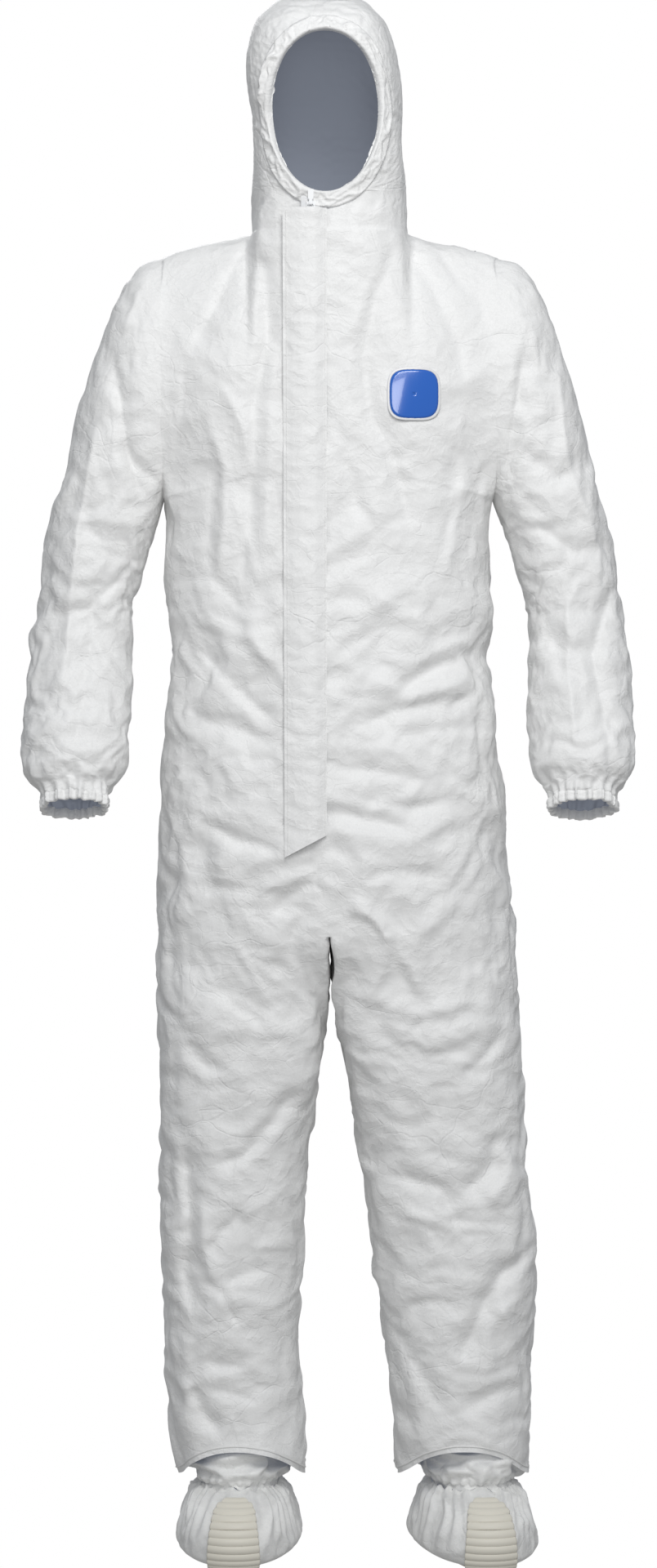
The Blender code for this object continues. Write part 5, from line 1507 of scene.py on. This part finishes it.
def storm_flap():
    rows, cols = 260, 26
    across = (np.arange(cols) / (cols - 1))[None, :]
    distance = np.linspace(0, FLAP_WIDTH, cols)[None, :] + np.zeros((rows, 1))
    up = np.linspace(0, 1, rows)[:, None]
    low_z = 0.8300 + 0.026 * (1 - distance / FLAP_WIDTH)
    z = low_z + (1.5975 - low_z) * up
    height = np.interp(distance, FLAP_SECTION[:, 0], FLAP_SECTION[:, 1])
    points = np.stack([FLAP_X - distance * (1 + 0.06 * up), zip_y(z), z], -1)
    points = points + FLAP_OUT * height[..., None]
    fold = np.maximum(fold_field(points, TRUNK_FOLDS) * 0.45, -0.0028) * (0.2 + 0.8 * across)
    wave = (0.0008 * space_noise(points, 0.075, 111, (0.4, 1, 1.2)) * across
            + 0.0003 * space_noise(points, 0.022, 112, (0.6, 1, 1.3)))
    wave = wave * (1 + 0.9 * bell(points[..., 2], 0.98, 0.10))      # livelier at the waist
    points = points + FLAP_OUT * np.maximum(fold + wave, -0.0020)[..., None]
    start = points + FLAP_OUT * (
        0.0010 * np.abs(ridged(rows, cols, 60, 6)) * (across > 0))[..., None]
    cloth = relax(points, start, slack_across=0.003, slack_along=0.006, anchor=0.05,
                  iterations=ITERATIONS // 2, fixed=(across == 0) & np.ones((rows, 1), bool),
                  wrap=False, bend=0.15)
    # keep the flap clear of the zip
    x, z = cloth[..., 0], cloth[..., 2]
    height = (cloth - np.stack([x, zip_y(z), z], -1)) @ FLAP_OUT
    lowest = np.where(across > 0.7, 0.0024, 0.0030)
    cloth = cloth + FLAP_OUT * np.maximum(lowest - height, 0)[..., None]
    ob = cloth_piece("storm_flap_ply", cloth, FLAP_CENTRE, inner=SUIT_FILM, thickness=0.0012)
    attach(ob, "storm_flap", ("storm_flap",))
    normals = outward(cloth, FLAP_CENTRE)
    for name, col, body in (("flap_stitches_sewn", 1, "torso"),
                            ("flap_stitches_free", cols - 3, "storm_flap")):
        stitches(name, cloth[:, col] + normals[:, col] * 0.0002, normals[:, col], body)


storm_flap()

# =====================================================================
#  Label: a rounded square on the left of the chest
# =====================================================================
LABEL_LIFT = 0.0008


def label_terms(x, z):
    x, z = x - LABEL_X, z - LABEL_Z
    return np.stack([1 + 0 * x, x, z, x * x, x * z, z * z], -1)


def fit_label_sheet():
    """A smooth sheet, y from x and z, just in front of the left panel's own surface."""
    x, y, z = front[LEFT].points.reshape(-1, 3).T
    near = (y < 0) & (np.abs(x - LABEL_X) < 0.034) & (np.abs(z - LABEL_Z) < 0.034)
    terms, y = label_terms(x[near], z[near]), y[near]
    fit = np.linalg.lstsq(terms, y, rcond=None)[0]
    fit[0] += (y - terms @ fit).min()
    return fit


LABEL_SHEET = fit_label_sheet()


def label_ring(name, inner_radius, outer_radius, rows, material, replaced=()):
    columns = 72
    radius = np.linspace(inner_radius, outer_radius, rows)[:, None]
    angle = 2 * math.pi * np.arange(columns)[None, :] / columns
    x = LABEL_X + radius * signed_power(np.cos(angle), 2 / 3.6)
    z = LABEL_Z + radius * signed_power(np.sin(angle), 2 / 3.6)
    points = np.stack([x, label_terms(x, z) @ LABEL_SHEET - LABEL_LIFT, z], -1)
    ob = add_mesh(name, points, grid_faces(rows, columns, wrap=True, flip=True), material)
    thicken(ob, 0.0006, offset=0)
    attach(ob, "torso", replaced)


label_ring("label_face", 0.00005, 0.0292, 10, LABEL_BLUE, ("chest_label",))
label_ring("label_border", 0.0288, 0.0315, 4, LABEL_BORDER)

# =====================================================================
#  CAD nodes shown as they are
# =====================================================================
FINISH = {
    "zip_tape_right": ZIP_TAPE, "zip_tape_left": ZIP_TAPE,
    "zip_top_stop_right": ZIP_PLASTIC, "zip_top_stop_left": ZIP_PLASTIC,
    "zip_bottom_stop": ZIP_PLASTIC, "zip_slider": ZIP_PLASTIC, "zip_puller": ZIP_PLASTIC,
    "neck_tape": ELASTIC, "crotch_gusset": SUIT_FILM, "flap_adhesive_strip": ADHESIVE,
    "sole_right": SOLE, "sole_left": SOLE}
for name, material in FINISH.items():
    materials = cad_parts[name].data.materials
    materials.clear()
    materials.append(material)

# =====================================================================
#  Stage
# =====================================================================
scene = bpy.context.scene


def floor():
    """Glows pure white to the camera and more softly to everything else."""
    material = bpy.data.materials.new("floor_white")
    material.use_nodes = True
    tree = material.node_tree
    tree.nodes.clear()
    glow = tree.nodes.new("ShaderNodeEmission")
    set_inputs(tree, glow, {"Color": (1, 1, 1, 1)})
    add_node(tree, "OutputMaterial", {"Surface": glow.outputs["Emission"]})
    seen = add_node(tree, "LightPath")["Is Camera Ray"]
    strength = add_node(tree, "MapRange", {"To Min": 0.32, "To Max": 1.0, "Value": seen})
    set_inputs(tree, glow, {"Strength": strength["Result"]})
    half, z = 14, -0.16
    corners = [(-half, -half, z), (half, -half, z), (half, half, z), (-half, half, z)]
    add_mesh("floor", corners, [(0, 1, 2, 3)], material)


def surroundings():
    """White to the camera, a dimmer cool light to everything else."""
    world = bpy.data.worlds.new("white") if scene.world is None else scene.world
    scene.world = world
    world.use_nodes = True
    tree = world.node_tree
    tree.nodes.clear()
    seen = add_node(tree, "LightPath")["Is Camera Ray"]
    lighting = add_node(tree, "Background", {"Color": (0.93, 0.96, 1.0, 1), "Strength": 0.38})
    backdrop = add_node(tree, "Background", {"Color": (1, 1, 1, 1), "Strength": 1.0})
    mixed = add_node(tree, "MixShader", {"Fac": seen, 1: lighting["Background"],
                                         2: backdrop["Background"]})
    add_node(tree, "OutputWorld", {"Surface": mixed["Shader"]})


def area_light(name, location, target, width, height, power):
    light = bpy.data.lights.new(name, "AREA")
    light.energy = power
    light.shape = "RECTANGLE"
    light.size = width
    light.size_y = height
    ob = bpy.data.objects.new(name, light)
    scene.collection.objects.link(ob)
    ob.location = location
    aim = Vector(target) - Vector(location)
    ob.rotation_euler = aim.to_track_quat("-Z", "Y").to_euler()


def camera():
    lens = bpy.data.cameras.new("camera")
    lens.lens = 108.5
    lens.sensor_width = 36
    lens.sensor_fit = "AUTO"
    lens.shift_y = -0.0724
    ob = bpy.data.objects.new("camera", lens)
    scene.collection.objects.link(ob)
    ob.location = (-0.001, -5.7 + FRAME_Y, 1.05)
    ob.rotation_euler = (math.radians(90), 0, 0)
    scene.camera = ob


floor()
surroundings()
area_light("key", (0.35, -2.6, 3.0), target=(0, 0, 1.30), width=1.2, height=1.2, power=49.5)
area_light("front", (0.1, -4.6, 2.1), target=(0, 0, 1.3), width=1.1, height=1.4, power=30)
area_light("back", (-0.9, 4.4, 3.1), target=(0, 0, 1.1), width=1.2, height=1.2, power=42)
camera()
scene.view_settings.view_transform = "Standard"
scene.view_settings.look = "None"
scene.view_settings.exposure = 0.0
scene.view_settings.gamma = 1.0
